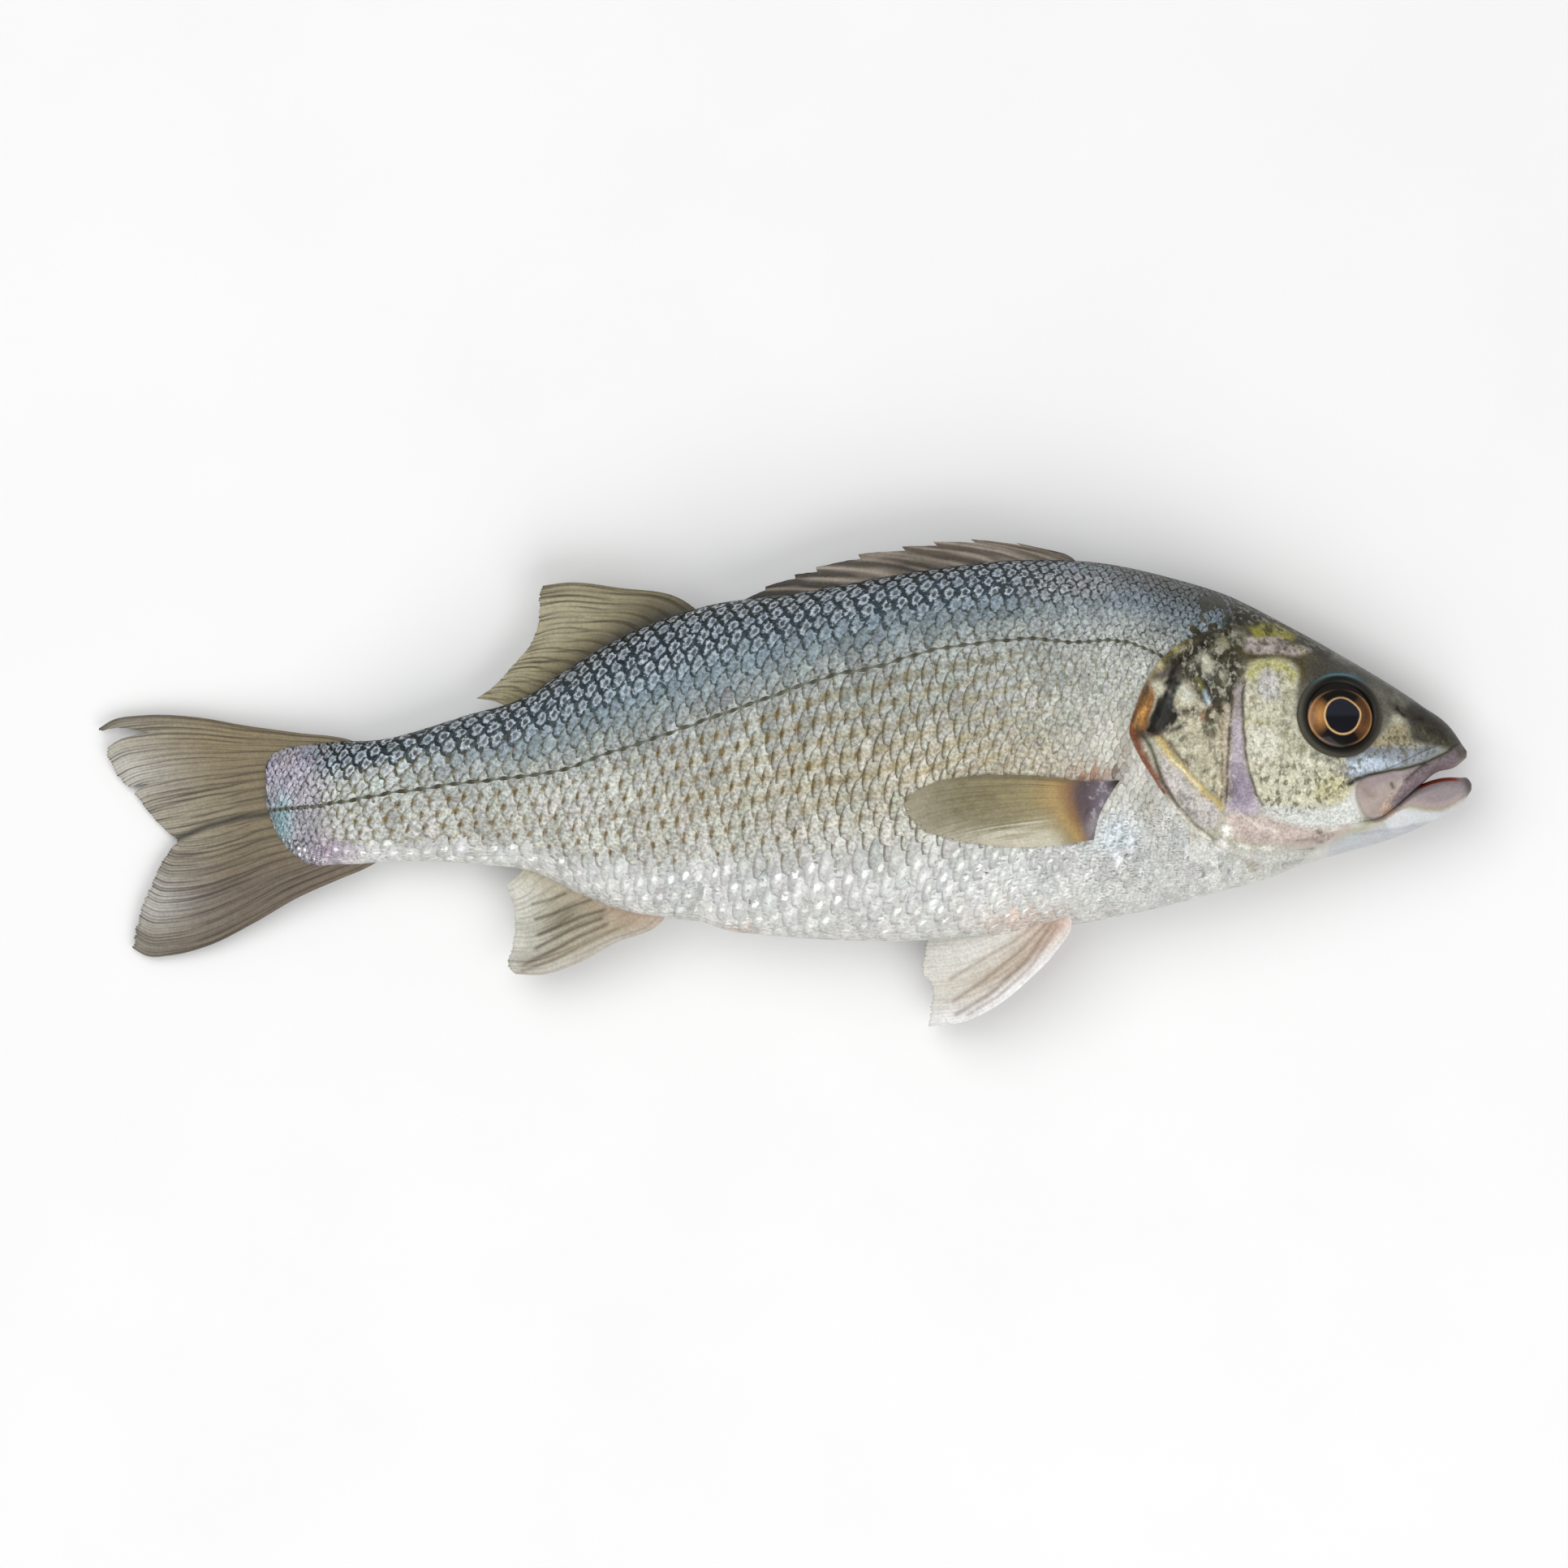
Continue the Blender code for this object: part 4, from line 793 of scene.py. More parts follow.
# Fields of colour on the head, painted in this order: (colour, softness, strength, outline).
headFields = [
    ("#48432f", 2.5, 0.95, [
        (97, 36), (100, 31), (99.5, 25), (104, 27.2), (110, 27), (113, 22), (118, 24), (128, 21),
        (134, 16), (144, 9), (151, 8), (140, 26), (118, 40), (96, 50),
    ]),
    ("#2a281f", 2.5, 0.95, crownOutline),
    ("#6a6962", 2.0, 0.80, [
        (119, 27.0), (125, 24.6), (131, 21.4), (137, 17.4), (140, 17), (131, 26), (121, 32),
    ]),
    ("#958f3e", 1.2, 0.85, [
        (101.0, 33.6), (104.0, 35.2), (108.0, 34.0), (111.5, 31.6), (109.0, 30.8), (105.0, 31.2),
        (102.0, 31.8),
    ]),
    ("#b3a8a4", 1.0, 0.90, [
        (99.6, 31.2), (104.0, 31.6), (109.0, 31.0), (112.0, 29.8), (114.8, 28.8), (112.0, 27.9),
        (108.0, 28.0), (104.0, 28.1), (100.0, 28.6),
    ]),
    ("#625f55", 2.0, 0.95, [
        (110.9, 17), (111.3, 13.6), (113, 10.7), (115.6, 8.4), (119, 7.1), (122.5, 7), (126, 8.2),
        (129, 10.2), (131.6, 12.6), (133.4, 16), (132, 19.6), (128, 22.5), (121, 25), (114, 24.5),
        (111.6, 22),
    ]),
    ("#47443a", 2.5, 0.85, [
        (112.5, 21), (112.5, 25), (117, 27), (124, 25), (130, 21.5), (126, 21), (120, 23.5),
    ]),
    ("#998e72", 2.0, 0.90, [
        (125.5, 8.0), (130.0, 10.8), (132.6, 12.9), (134.8, 12.4), (136.2, 10.6), (136.2, 8.6),
        (134.0, 8.0), (130.0, 7.2),
    ]),
    ("#2e2b24", 2.2, 0.92, [
        (131.6, 17.6), (133.4, 15.2), (135.2, 12.8), (136.4, 9.8), (138.6, 8.2), (144.5, 7.6), (150, 6),
        (152, 9), (143.5, 13.6), (137.0, 16.8),
    ]),
    ("#8d949e", 1.6, 0.92, suborbitalOutline),
    ("#bccad8", 2.0, 0.85, [
        (121.5, 3.6), (125.0, 5.4), (130.0, 5.2), (134.0, 4.6), (131.0, 3.3), (126.0, 2.4), (123.0, 2.2),
    ]),
    ("#b1ac93", 2.0, 0.95, opercleOutline),
    ("#3d3929", 2.2, 0.94, [
        (79.4, 21.6), (80.8, 26.0), (83.0, 29.0), (87.0, 32.0), (92.0, 34.5), (98.0, 34.2),
        (100.0, 30.0), (99.4, 23.0), (98.0, 17.5), (94.0, 15.6), (90.0, 18.0), (88.6, 21.6),
        (85.0, 22.5),
    ]),
    ("#6a6450", 2.2, 0.75, [(90.0, 12.6), (96.4, 17.0), (96.6, 11.0), (93.0, 9.6), (90.6, 10.6)]),
    ("#85582a", 1.2, 0.95, [
        (79.8, 22.4), (78.4, 21.5), (76.0, 17.5), (74.4, 12.5), (74.6, 9.5), (76.6, 10.0), (78.8, 12.6),
        (79.8, 16.5), (80.6, 20.0),
    ]),
    ("#6d5f35", 1.4, 0.60, [
        (90.0, 34.0), (84.0, 31.6), (79.6, 26.6), (78.0, 21.0), (80.6, 22.6), (84.0, 27.4), (89.0, 31.2),
    ]),
    ("#2d2a20", 1.6, 0.85, [
        (104.0, 37.0), (97.0, 36.6), (90.0, 35.0), (86.0, 32.6), (88.0, 31.0), (93.0, 33.0),
        (98.0, 33.8), (103.0, 34.6),
    ]),
    ("#080806", 1.0, 0.98, [
        (86.0, 23.6), (82.6, 21.6), (80.8, 18.0), (79.0, 13.2), (78.0, 11.4), (80.4, 10.6), (83.6, 11.8),
        (85.4, 14.4), (84.8, 18.0), (86.4, 21.6),
    ]),
    ("#24211a", 1.2, 0.92, [
        (97.0, 32.8), (92.0, 31.2), (87.6, 29.2), (84.6, 26.8), (84.0, 24.4), (86.8, 26.2), (90.0, 28.6),
        (94.0, 29.6),
    ]),
    ("#c4bebc", 1.6, 0.90, [
        (82.0, 6.6), (86.0, 2.0), (89.4, -1.2), (94.4, -6.0), (93.6, -10.0), (89.0, -8.4), (85.0, -4.2),
        (82.2, 1.0),
    ]),
    ("#b3a791", 1.0, 0.75, [
        (94.2, 16.0), (97.0, 18.0), (96.6, 8.0), (96.4, -5.0), (94.4, -5.0), (94.2, 4.0),
    ]),
    ("#c1b0aa", 3.0, 0.85, [
        (96.0, -5.0), (101.0, -7.0), (105.4, -6.6), (109.0, -8.6), (116.0, -9.8), (123.0, -9.4),
        (119.0, -12.8), (108.0, -13.8), (101.0, -13.0), (96.5, -10.5),
    ]),
    ("#b2a8b3", 2.0, 0.95, [
        (97.6, 21.5), (99.3, 21.5), (99.6, 13.0), (99.9, 8.0), (100.6, 3.5), (101.4, 0.5), (102.4, -2.6),
        (103.6, -6.0), (100.0, -7.0), (96.4, -5.4), (96.6, 0.0), (96.7, 8.0), (97.1, 14.0),
    ]),
    ("#9c948f", 2.0, 0.75, [(97.3, 22.0), (99.6, 22.0), (99.8, 14.0), (97.2, 14.0)]),
    ("#847989", 2.4, 0.75, [(96.8, 4.0), (100.6, 4.0), (102.4, -2.0), (100.4, -5.4), (96.6, -4.4)]),
    ("#c6c3ac", 1.4, 0.97, cheekOutline),
    ("#a7a38c", 2.5, 0.6, [
        (108.0, 24.0), (110.4, 21.0), (110.0, 13.0), (113.0, 9.6), (119.0, 6.8), (113.0, 6.0),
        (107.6, 11.0), (107.4, 18.0),
    ]),
    ("#c0c0c6", 2.5, 0.70, [(102.2, 22.0), (104.5, 25.0), (107.4, 22.5), (107.0, 19.0), (103.5, 18.4)]),
    ("#dcdacb", 2.0, 0.70, [
        (100.4, 12.4), (103.4, 12.4), (107.5, 9.0), (106.5, 5.5), (102.0, 5.0), (100.6, 8.0),
    ]),
    ("#b3ad79", 3.0, 0.65, [
        (115.5, 0.2), (119.0, 1.4), (122.4, 0.2), (122.0, -2.6), (118.0, -3.6), (114.6, -2.6),
    ]),
    ("#d3d5d0", 1.8, 0.95, [
        (103.4, -4.8), (110.0, -5.2), (118.0, -5.0), (122.4, -3.6), (124.0, -1.6), (124.8, -5.0),
        (125.8, -8.2), (122.0, -9.2), (117.0, -9.7), (111.0, -9.3), (106.5, -7.8),
    ]),
    ("#cacac5", 3.0, 0.90, [
        (94, -12.6), (101, -14.4), (110, -14.6), (120, -13.2), (128, -10.0), (134, -8.4), (143, -6.6),
        (150, -2.6), (150, -8), (130, -17), (105, -25), (94, -25),
    ]),
    ("#b6bac1", 2.5, 0.70, [
        (119, -12.4), (130, -9.9), (139, -8.2), (147, -5.2), (151, -3.0), (140, -12), (128, -16),
        (119, -18),
    ]),
    ("#d3d6d9", 1.2, 0.90, [
        (130.8, -7.8), (134.0, -6.0), (140.0, -5.9), (144.0, -6.1), (147.0, -4.6), (149.6, -2.6),
        (149.0, -3.6), (144.0, -7.2), (138.0, -8.6), (131.0, -9.4),
    ]),
    ("#a99b95", 0.8, 0.96, [
        (124.5, -0.2), (124.2, -2.0), (124.7, -4.0), (125.5, -6.0), (127.0, -7.5), (129.0, -8.2),
        (131.2, -7.5), (133.6, -6.0), (135.0, -3.6), (136.0, 0.6), (137.5, 3.0), (133.0, 2.6),
        (129.0, 1.9), (126.4, 1.1),
    ]),
    ("#93858a", 1.6, 0.75, [
        (126.0, 0.8), (129.0, 1.8), (133.5, 2.5), (137.5, 3.6), (134.5, 0.6), (131.0, 0.4),
        (127.0, -0.4),
    ]),
    ("#ab907c", 1.8, 0.65, [(130.5, -3.6), (133.5, -2.8), (134.2, -5.2), (131.4, -7.0), (129.4, -6.0)]),
    ("#74666c", 0.9, 0.96, [
        (147.2, 8.8), (144.2, 6.8), (141.6, 5.3), (139.2, 4.1), (137.2, 2.6), (135.2, 0.8),
        (133.4, -1.5), (132.0, -4.2), (133.4, -6.0), (136.0, -2.6), (138.5, -0.6), (141.5, 1.4),
        (144.5, 2.8), (147.0, 3.6), (150.0, 4.6), (149.6, 7.4),
    ]),
    ("#a2949a", 1.4, 0.65, [
        (134.6, -3.6), (138.0, 0.2), (141.5, 2.4), (145.5, 4.0), (147.5, 3.8), (144.5, 2.4),
        (141.5, 1.0), (138.5, -1.0), (136.0, -3.0),
    ]),
    ("#565147", 1.8, 0.90, [
        (146.2, 8.6), (146.8, 5.4), (148.8, 4.2), (151.0, 4.6), (151.0, 8.0), (148.0, 9.4),
    ]),
    ("#93888b", 0.9, 0.96, [
        (134.2, -3.6), (137.0, -1.6), (139.0, -0.2), (142.0, 1.4), (147.0, 2.0), (150.8, 0.6),
        (150.6, -1.8), (148.4, -2.8), (146.0, -4.2), (143.0, -5.4), (140.0, -5.1), (136.0, -4.9),
        (133.4, -5.9), (132.4, -5.0),
    ]),
    ("#b6a29d", 1.4, 0.70, [
        (133.0, -5.4), (137.0, -3.9), (143.0, -4.0), (147.4, -2.4), (146.0, -4.2), (143.0, -5.5),
        (140.0, -5.2), (136.0, -5.0),
    ]),
    ("#4b4641", 1.8, 0.90, [(147.4, 2.2), (151.0, 2.0), (151.0, -1.8), (148.8, -1.9), (148.0, 0.0)]),
]
# Strokes of colour on the head, painted after the fields: (colour, width, strength, line).
headStrokes = [
    ("#3b2412", 0.5, 0.80, [(79.4, 21.8), (76.7, 16.4), (75.2, 12.0)]),
    ("#c79350", 0.7, 0.70, [(78.6, 17.6), (77.6, 14.8), (76.4, 12.2)]),
    ("#2f2e27", 1.8, 0.90, [(89.6, 24.0), (91.0, 21.8), (92.0, 20.4)]),
    ("#1c1a16", 0.8, 0.80, [(83.0, 13.6), (86.0, 15.2), (88.6, 15.8)]),
    ("#2a2620", 0.6, 0.75, [(80.4, 10.9), (84.0, 11.4), (87.0, 12.8)]),
    ("#72371a", 1.3, 0.92, [
        (75.4, 11.0), (76.6, 8.0), (77.9, 5.0), (79.4, 2.4), (81.2, -0.4), (82.4, -2.4),
    ]),
    ("#a9a396", 1.3, 0.90, [
        (82.6, -3.4), (84.8, -7.0), (88.0, -10.4), (91.4, -13.2), (95.5, -15.8), (102.0, -18.0),
    ]),
    ("#33251a", 1.1, 0.85, [(77.2, 10.8), (79.2, 10.4), (81.2, 10.6)]),
    ("#2f2a1e", 0.5, 0.85, [
        (77.6, 10.4), (79.2, 8.0), (80.4, 5.2), (81.6, 1.6), (83.4, -1.8), (85.4, -4.9),
    ]),
    ("#6b6353", 0.45, 0.7, [(85.4, -4.9), (88.6, -8.2), (92.0, -11.2), (95.4, -13.6)]),
    ("#e3e0d6", 0.5, 0.6, [(84.2, -4.8), (87.4, -8.6), (91.0, -11.6)]),
    ("#a8a172", 1.1, 0.75, [(84.2, 29.9), (84.9, 29.1)]),
    ("#bbb48a", 1.1, 0.80, [(81.2, 26.0), (82.0, 25.0)]),
    ("#d8d6bf", 1.0, 0.90, [(80.8, 21.2), (81.7, 20.4)]),
    # Painted sheen: a purple-grey streak across the dark upper band.
    ("#6a5f62", 0.8, 0.7, [(81.6, 23.2), (86.0, 25.4), (89.4, 27.4)]),
    # Painted highlight: a faint blue glint in the black pocket.
    ("#2b3644", 0.4, 0.5, [(83.6, 18.0), (83.8, 16.2)]),
    ("#14120d", 1.0, 0.95, [
        (97.0, 33.0), (93.0, 31.0), (89.4, 28.8), (86.0, 26.6), (84.4, 24.0), (83.6, 22.0),
    ]),
    ("#1a1812", 0.7, 0.9, [(99.6, 29.4), (96.0, 28.4), (93.6, 26.4), (93.0, 23.0)]),
    ("#1c1a14", 0.8, 0.85, [(97.4, 25.0), (97.2, 21.0), (96.6, 17.6)]),
    ("#8f8e7c", 1.0, 0.7, [(98.0, 31.6), (96.6, 29.8)]),
    ("#a09c85", 0.8, 0.7, [(95.4, 23.6), (95.6, 20.8)]),
    ("#24221a", 0.8, 0.75, [(98.0, 35.0), (94.6, 33.2), (91.0, 31.6)]),
    ("#1f1e18", 0.75, 0.85, [(89.8, 25.0), (91.2, 23.4), (92.4, 20.4), (93.0, 17.4)]),
    ("#2a2820", 0.5, 0.75, [(85.6, 22.8), (88.4, 23.4), (90.6, 23.6)]),
    ("#3a372b", 1.0, 0.6, [(97.0, 27.0), (94.4, 24.6), (94.6, 20.0), (94.2, 16.0)]),
    ("#98947a", 1.3, 0.85, [(94.7, 30.8), (95.4, 30.1)]),
    ("#c6c6b1", 1.3, 0.92, [(91.3, 27.0), (91.9, 25.0)]),
    ("#c6c8b9", 1.5, 0.95, [(87.0, 20.1), (88.0, 18.8)]),
    ("#8d8a45", 0.6, 0.7, [(89.6, 22.6), (90.5, 20.8)]),
    ("#afc0cd", 0.5, 0.85, [(91.4, 20.0), (92.0, 17.4)]),
    ("#71583f", 0.9, 0.85, [(90.4, 15.3), (92.6, 15.7)]),
    ("#8f5632", 0.5, 0.75, [(90.4, 14.2), (91.1, 14.1)]),
    ("#3b3b33", 0.5, 0.75, [(85.6, 12.0), (86.4, 12.4)]),
    ("#4a3822", 0.5, 0.75, [(81.4, 10.4), (84.0, 7.5), (87.2, 4.6)]),
    ("#c9b173", 0.75, 0.88, [
        (81.2, 9.3), (83.5, 6.2), (86.5, 3.2), (89.5, 0.2), (92.5, -2.9), (94.6, -4.9),
    ]),
    # A thin pale line along the raised strut: painted highlight.
    ("#e9e1bd", 0.35, 0.75, [(84.0, 5.2), (87.0, 2.2), (90.0, -0.8)]),
    ("#6b4a35", 0.5, 0.7, [(86.8, 4.8), (87.6, 4.0)]),
    ("#45423f", 0.6, 0.55, [(86.4, -2.4), (87.2, -3.6), (88.2, -3.2)]),
    ("#4b4744", 0.5, 0.55, [(87.4, -5.6), (88.2, -6.8), (89.0, -6.4)]),
    ("#5a4834", 0.32, 0.85, [(97.4, 20.0), (96.8, 14.0), (96.4, 8.0), (96.2, 2.0), (95.8, -4.0)]),
    ("#75664d", 0.28, 0.65, [(95.0, 18.0), (95.0, 10.0), (95.0, 2.0), (94.8, -3.6)]),
    ("#453d34", 0.35, 0.85, [
        (99.8, 23.0), (99.4, 18.0), (99.7, 12.0), (100.1, 7.0), (101.0, 2.4), (102.4, -2.4),
        (104.0, -4.8),
    ]),
    ("#4a4024", 0.7, 0.85, [
        (98.0, 29.0), (102.0, 27.3), (106.0, 27.6), (110.0, 27.2), (112.4, 25.6), (112.6, 22.6),
    ]),
    ("#b4b266", 1.2, 0.85, [(101.2, 23.6), (103.2, 25.4), (106.0, 25.9), (108.6, 25.1), (110.2, 23.2)]),
    ("#bcb590", 0.6, 0.8, [(112.0, 28.9), (112.8, 28.6)]),
    ("#8f8255", 0.7, 0.75, [(100.3, 14.0), (102.2, 13.4)]),
    ("#a3a067", 0.5, 0.7, [(103.8, 13.4), (104.4, 13.0)]),
    ("#73735f", 0.55, 0.8, [(108.4, 13.2), (109.2, 13.5)]),
    ("#87845c", 0.5, 0.7, [(108.8, 11.4), (109.6, 9.8)]),
    ("#7f7b56", 0.5, 0.8, [(112.0, 8.2), (112.9, 7.4)]),
    ("#666a66", 0.6, 0.85, [(114.9, 5.9), (115.6, 6.4)]),
    ("#5d6168", 0.6, 0.7, [(117.2, 5.5), (118.4, 5.0), (119.8, 4.4)]),
    ("#948a72", 0.8, 0.6, [(101.6, 18.6), (102.4, 18.0)]),
    ("#55585e", 0.7, 0.55, [(120.4, 3.4), (121.8, 2.0), (122.8, 0.8)]),
    ("#74777f", 0.7, 0.5, [(119.0, 6.2), (126.0, 6.9), (133.0, 7.2), (140.0, 7.4)]),
    ("#2a2723", 0.42, 0.95, [
        (122.4, -0.1), (124.4, 0.7), (126.4, 1.5), (129.0, 2.2), (133.0, 2.9), (136.4, 3.6),
        (139.4, 4.5), (142.0, 5.7), (144.4, 7.0), (147.0, 8.8),
    ]),
    ("#1f1d1a", 0.75, 0.85, [(123.2, 0.4), (124.8, 0.9)]),
    ("#3b3436", 0.35, 0.8, [(139.4, 4.4), (137.5, 2.9), (136.0, 1.6), (135.0, 0.6)]),
    ("#807374", 0.35, 0.6, [(135.0, 0.6), (134.0, -1.6), (133.2, -4.2), (134.4, -5.2)]),
    ("#8b8580", 0.35, 0.6, [
        (124.9, 0.2), (124.3, -1.6), (124.5, -3.6), (125.2, -5.6), (126.6, -7.3), (128.8, -8.3),
        (131.0, -7.6),
    ]),
    ("#8a776f", 1.3, 0.6, [(126.2, -1.2), (127.4, -2.4)]),
    ("#55463d", 0.45, 0.85, [(132.0, -0.2), (132.3, -1.0)]),
    ("#9f9a86", 0.3, 0.6, [(133.4, -5.9), (136.0, -5.0), (140.0, -5.3), (143.0, -5.6), (146.0, -4.3)]),
    ("#8f97a6", 0.4, 0.4, [(124.0, -11.2), (130.0, -10.4), (137.0, -9.2)]),
    # Painted highlights: white glints on the raised folds of the glossy throat membrane.
    ("#f5f3ec", 1.0, 0.92, [(95.6, -9.6), (96.0, -11.0)]),
    ("#f5f3ec", 0.8, 0.85, [(94.8, -13.0), (95.8, -13.8)]),
    ("#efede4", 0.6, 0.7, [(99.0, -13.4), (100.6, -14.0)]),
    ("#efede4", 0.6, 0.7, [(104.0, -14.2), (105.6, -14.4)]),
    ("#eceae0", 0.5, 0.6, [(90.6, -10.8), (92.4, -12.4)]),
    ("#e6ddd4", 0.4, 0.5, [(98.6, -6.6), (102.0, -8.8), (107.0, -10.6)]),
    ("#6e5f4a", 0.55, 0.9, [(116.0, -10.5), (116.4, -10.7)]),
    ("#85796a", 0.45, 0.7, [(116.2, -12.6), (117.0, -12.8)]),
    ("#1c1512", 0.55, 0.95, [(133.2, 16.3), (133.9, 15.4), (134.7, 14.6)]),
    ("#2b1e1b", 0.6, 0.8, [(136.6, 13.9), (138.3, 13.7)]),
    ("#8a8d80", 1.0, 0.5, [(133.4, 18.6), (134.6, 17.6)]),
    ("#24231b", 0.9, 0.7, [(137.6, 17.0), (139.6, 15.4)]),
]
# Where specks (0), blotches (1) and painted glints (2) show: (which, strength, softness, outline).
headMarkFields = [
    (0, 0.50, 3.0, cheekOutline),
    (0, 0.85, 3.0, [(101.5, 4.0), (108, 4.5), (116, 5.6), (122, 2), (123.6, -2), (118, -5), (104, -5)]),
    (0, 0.70, 2.5, suborbitalOutline),
    (0, 0.75, 3.0, [(125, 8), (131, 12), (137, 12.6), (146, 9), (140, 7), (130, 6.6)]),
    (0, 0.75, 1.5, [(99.6, 31.2), (104, 31.8), (112, 30.2), (115, 28.8), (108, 27.8), (100, 28.2)]),
    (0, 0.50, 2.5, [(82, 6), (89, -1), (94, -6), (93, -9.5), (86, -6), (82.4, 1)]),
    (1, 0.60, 3.0, opercleOutline),
    (1, 0.95, 3.0, [(83, 28), (88, 32), (98, 35), (100, 26), (98, 14), (91, 13), (91, 23), (84, 24)]),
    (1, 0.60, 1.5, [(86, 31), (79, 22), (75, 13), (75.4, 9), (79, 12), (83, 20), (87, 28)]),
    (1, 0.90, 1.5, [(100, 33), (104, 35.6), (110, 34), (115, 30), (110, 30.6), (102, 31.4)]),
    (1, 0.60, 1.5, [(99.6, 31.4), (104, 31.8), (112, 30.2), (115, 28.8), (108, 27.8), (100, 28.2)]),
    # Painted glints: pale spots of light on the gill cover, cheek, nape and crown.
    (2, 0.45, 3.0, opercleOutline),
    (2, 0.40, 3.0, cheekOutline),
    (2, 0.35, 3.0, [(84, 26), (88, 31), (98, 34), (99.6, 28), (98, 18), (93, 18)]),
    (2, 0.25, 3.0, [(96, 36), (110, 32), (122, 27), (112, 33), (98, 42)]),
]
# Clean places among the marks: (width, line).
headClear = [
    (1.9, [(86.4, 20.4), (88.2, 19.0)]),
    (1.4, [(91.4, 27.0), (91.9, 25.0)]),
    (1.2, [(94.7, 30.8), (95.4, 30.1)]),
    (1.0, [(81.2, 9.3), (86.5, 3.2), (94.6, -4.9)]),
    (2.6, [(84.3, 22.3), (83.0, 17.5), (81.4, 12.6)]),
    (1.4, [(98.4, 20.0), (98.4, 6.0), (99.6, -4.5)]),
]
eyePlace = (120.65, 14.7)


# Colour of the head at a place of the side view: fields and strokes over a cream ground, and a teal arc over
# the eye that is a painted reflection.
def headColours(x, y):
    colours = flatColour("#b1af9c", x)
    wander = 0.45 * softNoise(x, y, 2.4, 31)
    lilt = 0.45 * softNoise(x, y, 2.4, 32)
    for code, softness, strength, outline in headFields:
        colours = mixed(colours, code, strength * insideOf(outline, x + wander, y + lilt, softness))
    for code, width, strength, line in headStrokes:
        ragged = 1 + 0.5 * softNoise(x, y, 0.9, 33) if width > 0.6 else 1.0
        stroke = ridgeOn(line, x + 0.4 * wander, y + 0.4 * lilt, width * ragged)
        colours = mixed(colours, code, strength * stroke)
    # A teal arc over the top of the eye: painted reflection.
    tealReflection = np.exp(-((x - 121.2) / 4.4) ** 2 - ((y - 23.4 + 0.045 * (x - 121.2) ** 2) / 0.7) ** 2)
    return mixed(colours, "#3f6c78", tealReflection * 0.85)


# Marks of the head at a place: the strongest field of each kind, less 0.9 of it at the clean places.
def headMarks(x, y):
    marks = np.zeros((*np.shape(x), 3))
    for which, strength, softness, outline in headMarkFields:
        marks[..., which] = np.maximum(marks[..., which], strength * insideOf(outline, x, y, softness))
    for width, line in headClear:
        marks = marks * (1 - 0.9 * ridgeOn(line, x, y, width))[..., None]
    return marks


# Rings of body or jaw: y = middle + half height * sin(angle), z = height of the middle plane plus or
# minus half thickness, rounded off at an open lip and sunk by the inset.
def sectionRings(stations, top, bottom, sides, lipAbove, lipBelow, inset, relief=None):
    angle = np.linspace(0.0, 2 * math.pi, sides, endpoint=False)
    x = np.repeat(stations[:, None], sides, axis=1)
    y = (top + bottom)[:, None] / 2 + (top - bottom)[:, None] / 2 * np.sin(angle)[None, :]
    half = halfThickness(x, np.clip(y, wholeBottom(x) + 0.02, None))
    above = np.clip((top[:, None] - y) / lipAbove[:, None], 0.0, 1.0)
    below = np.clip((y - bottom[:, None]) / lipBelow[:, None], 0.0, 1.0)
    half = half * np.sqrt(1 - (1 - above) ** 2) * np.sqrt(1 - (1 - below) ** 2)
    out = np.where(np.cos(angle) >= 0, 1.0, -1.0)[None, :]
    share = np.clip(half / (smooth(fishForm["halfThickness"], x) + 1e-6) * 2.0, 0.0, 1.0)
    if relief is not None:
        half = half + relief(x, y) * share
    half = np.maximum(half - inset * share, 0.0)
    y = y - np.sin(angle)[None, :] * inset * (1 - share)
    z = middleHeight(x) + out * half
    return np.stack([x, y, np.maximum(z, fishForm["tableClearance"])], axis=-1)


# Closes both ends of a row of rings with one face each.
def ringFaces(stations, sides):
    faces = gridFaces(stations, sides, wrap=True).tolist()
    last = (stations - 1) * sides
    faces.append(list(range(sides - 1, -1, -1)))
    faces.append(list(range(last, last + sides)))
    return [face[::-1] for face in faces]


# Skin of the trunk, sunk under the scales, in a mix of their ground and bright colours.
def trunkSkin():
    stations, sides = np.linspace(skinStart, skinSplit, 220), 150
    top, bottom = smooth(fishForm["back"], stations), smooth(fishForm["belly"], stations)
    thin = np.full_like(top, 0.01)
    rings = sectionRings(stations, top, bottom, sides, thin, thin, skinUnderScales)
    x, y = rings[..., 0], rings[..., 1]
    line = smooth(flankLine, x)
    topY, lowY = smooth(fishForm["back"], x), smooth(fishForm["belly"], x)
    across = np.clip(np.where(y > line, (y - line) / (topY - line), (y - line) / (line - lowY)), -1, 1)
    bright, ground, *_ = flankLook(x, y, across)
    tint = ground * 0.6 + bright * 0.4
    addPiece("skin_trunk", rings, ringFaces(len(stations), sides), headSkinMaterial, "skin", tint=tint)


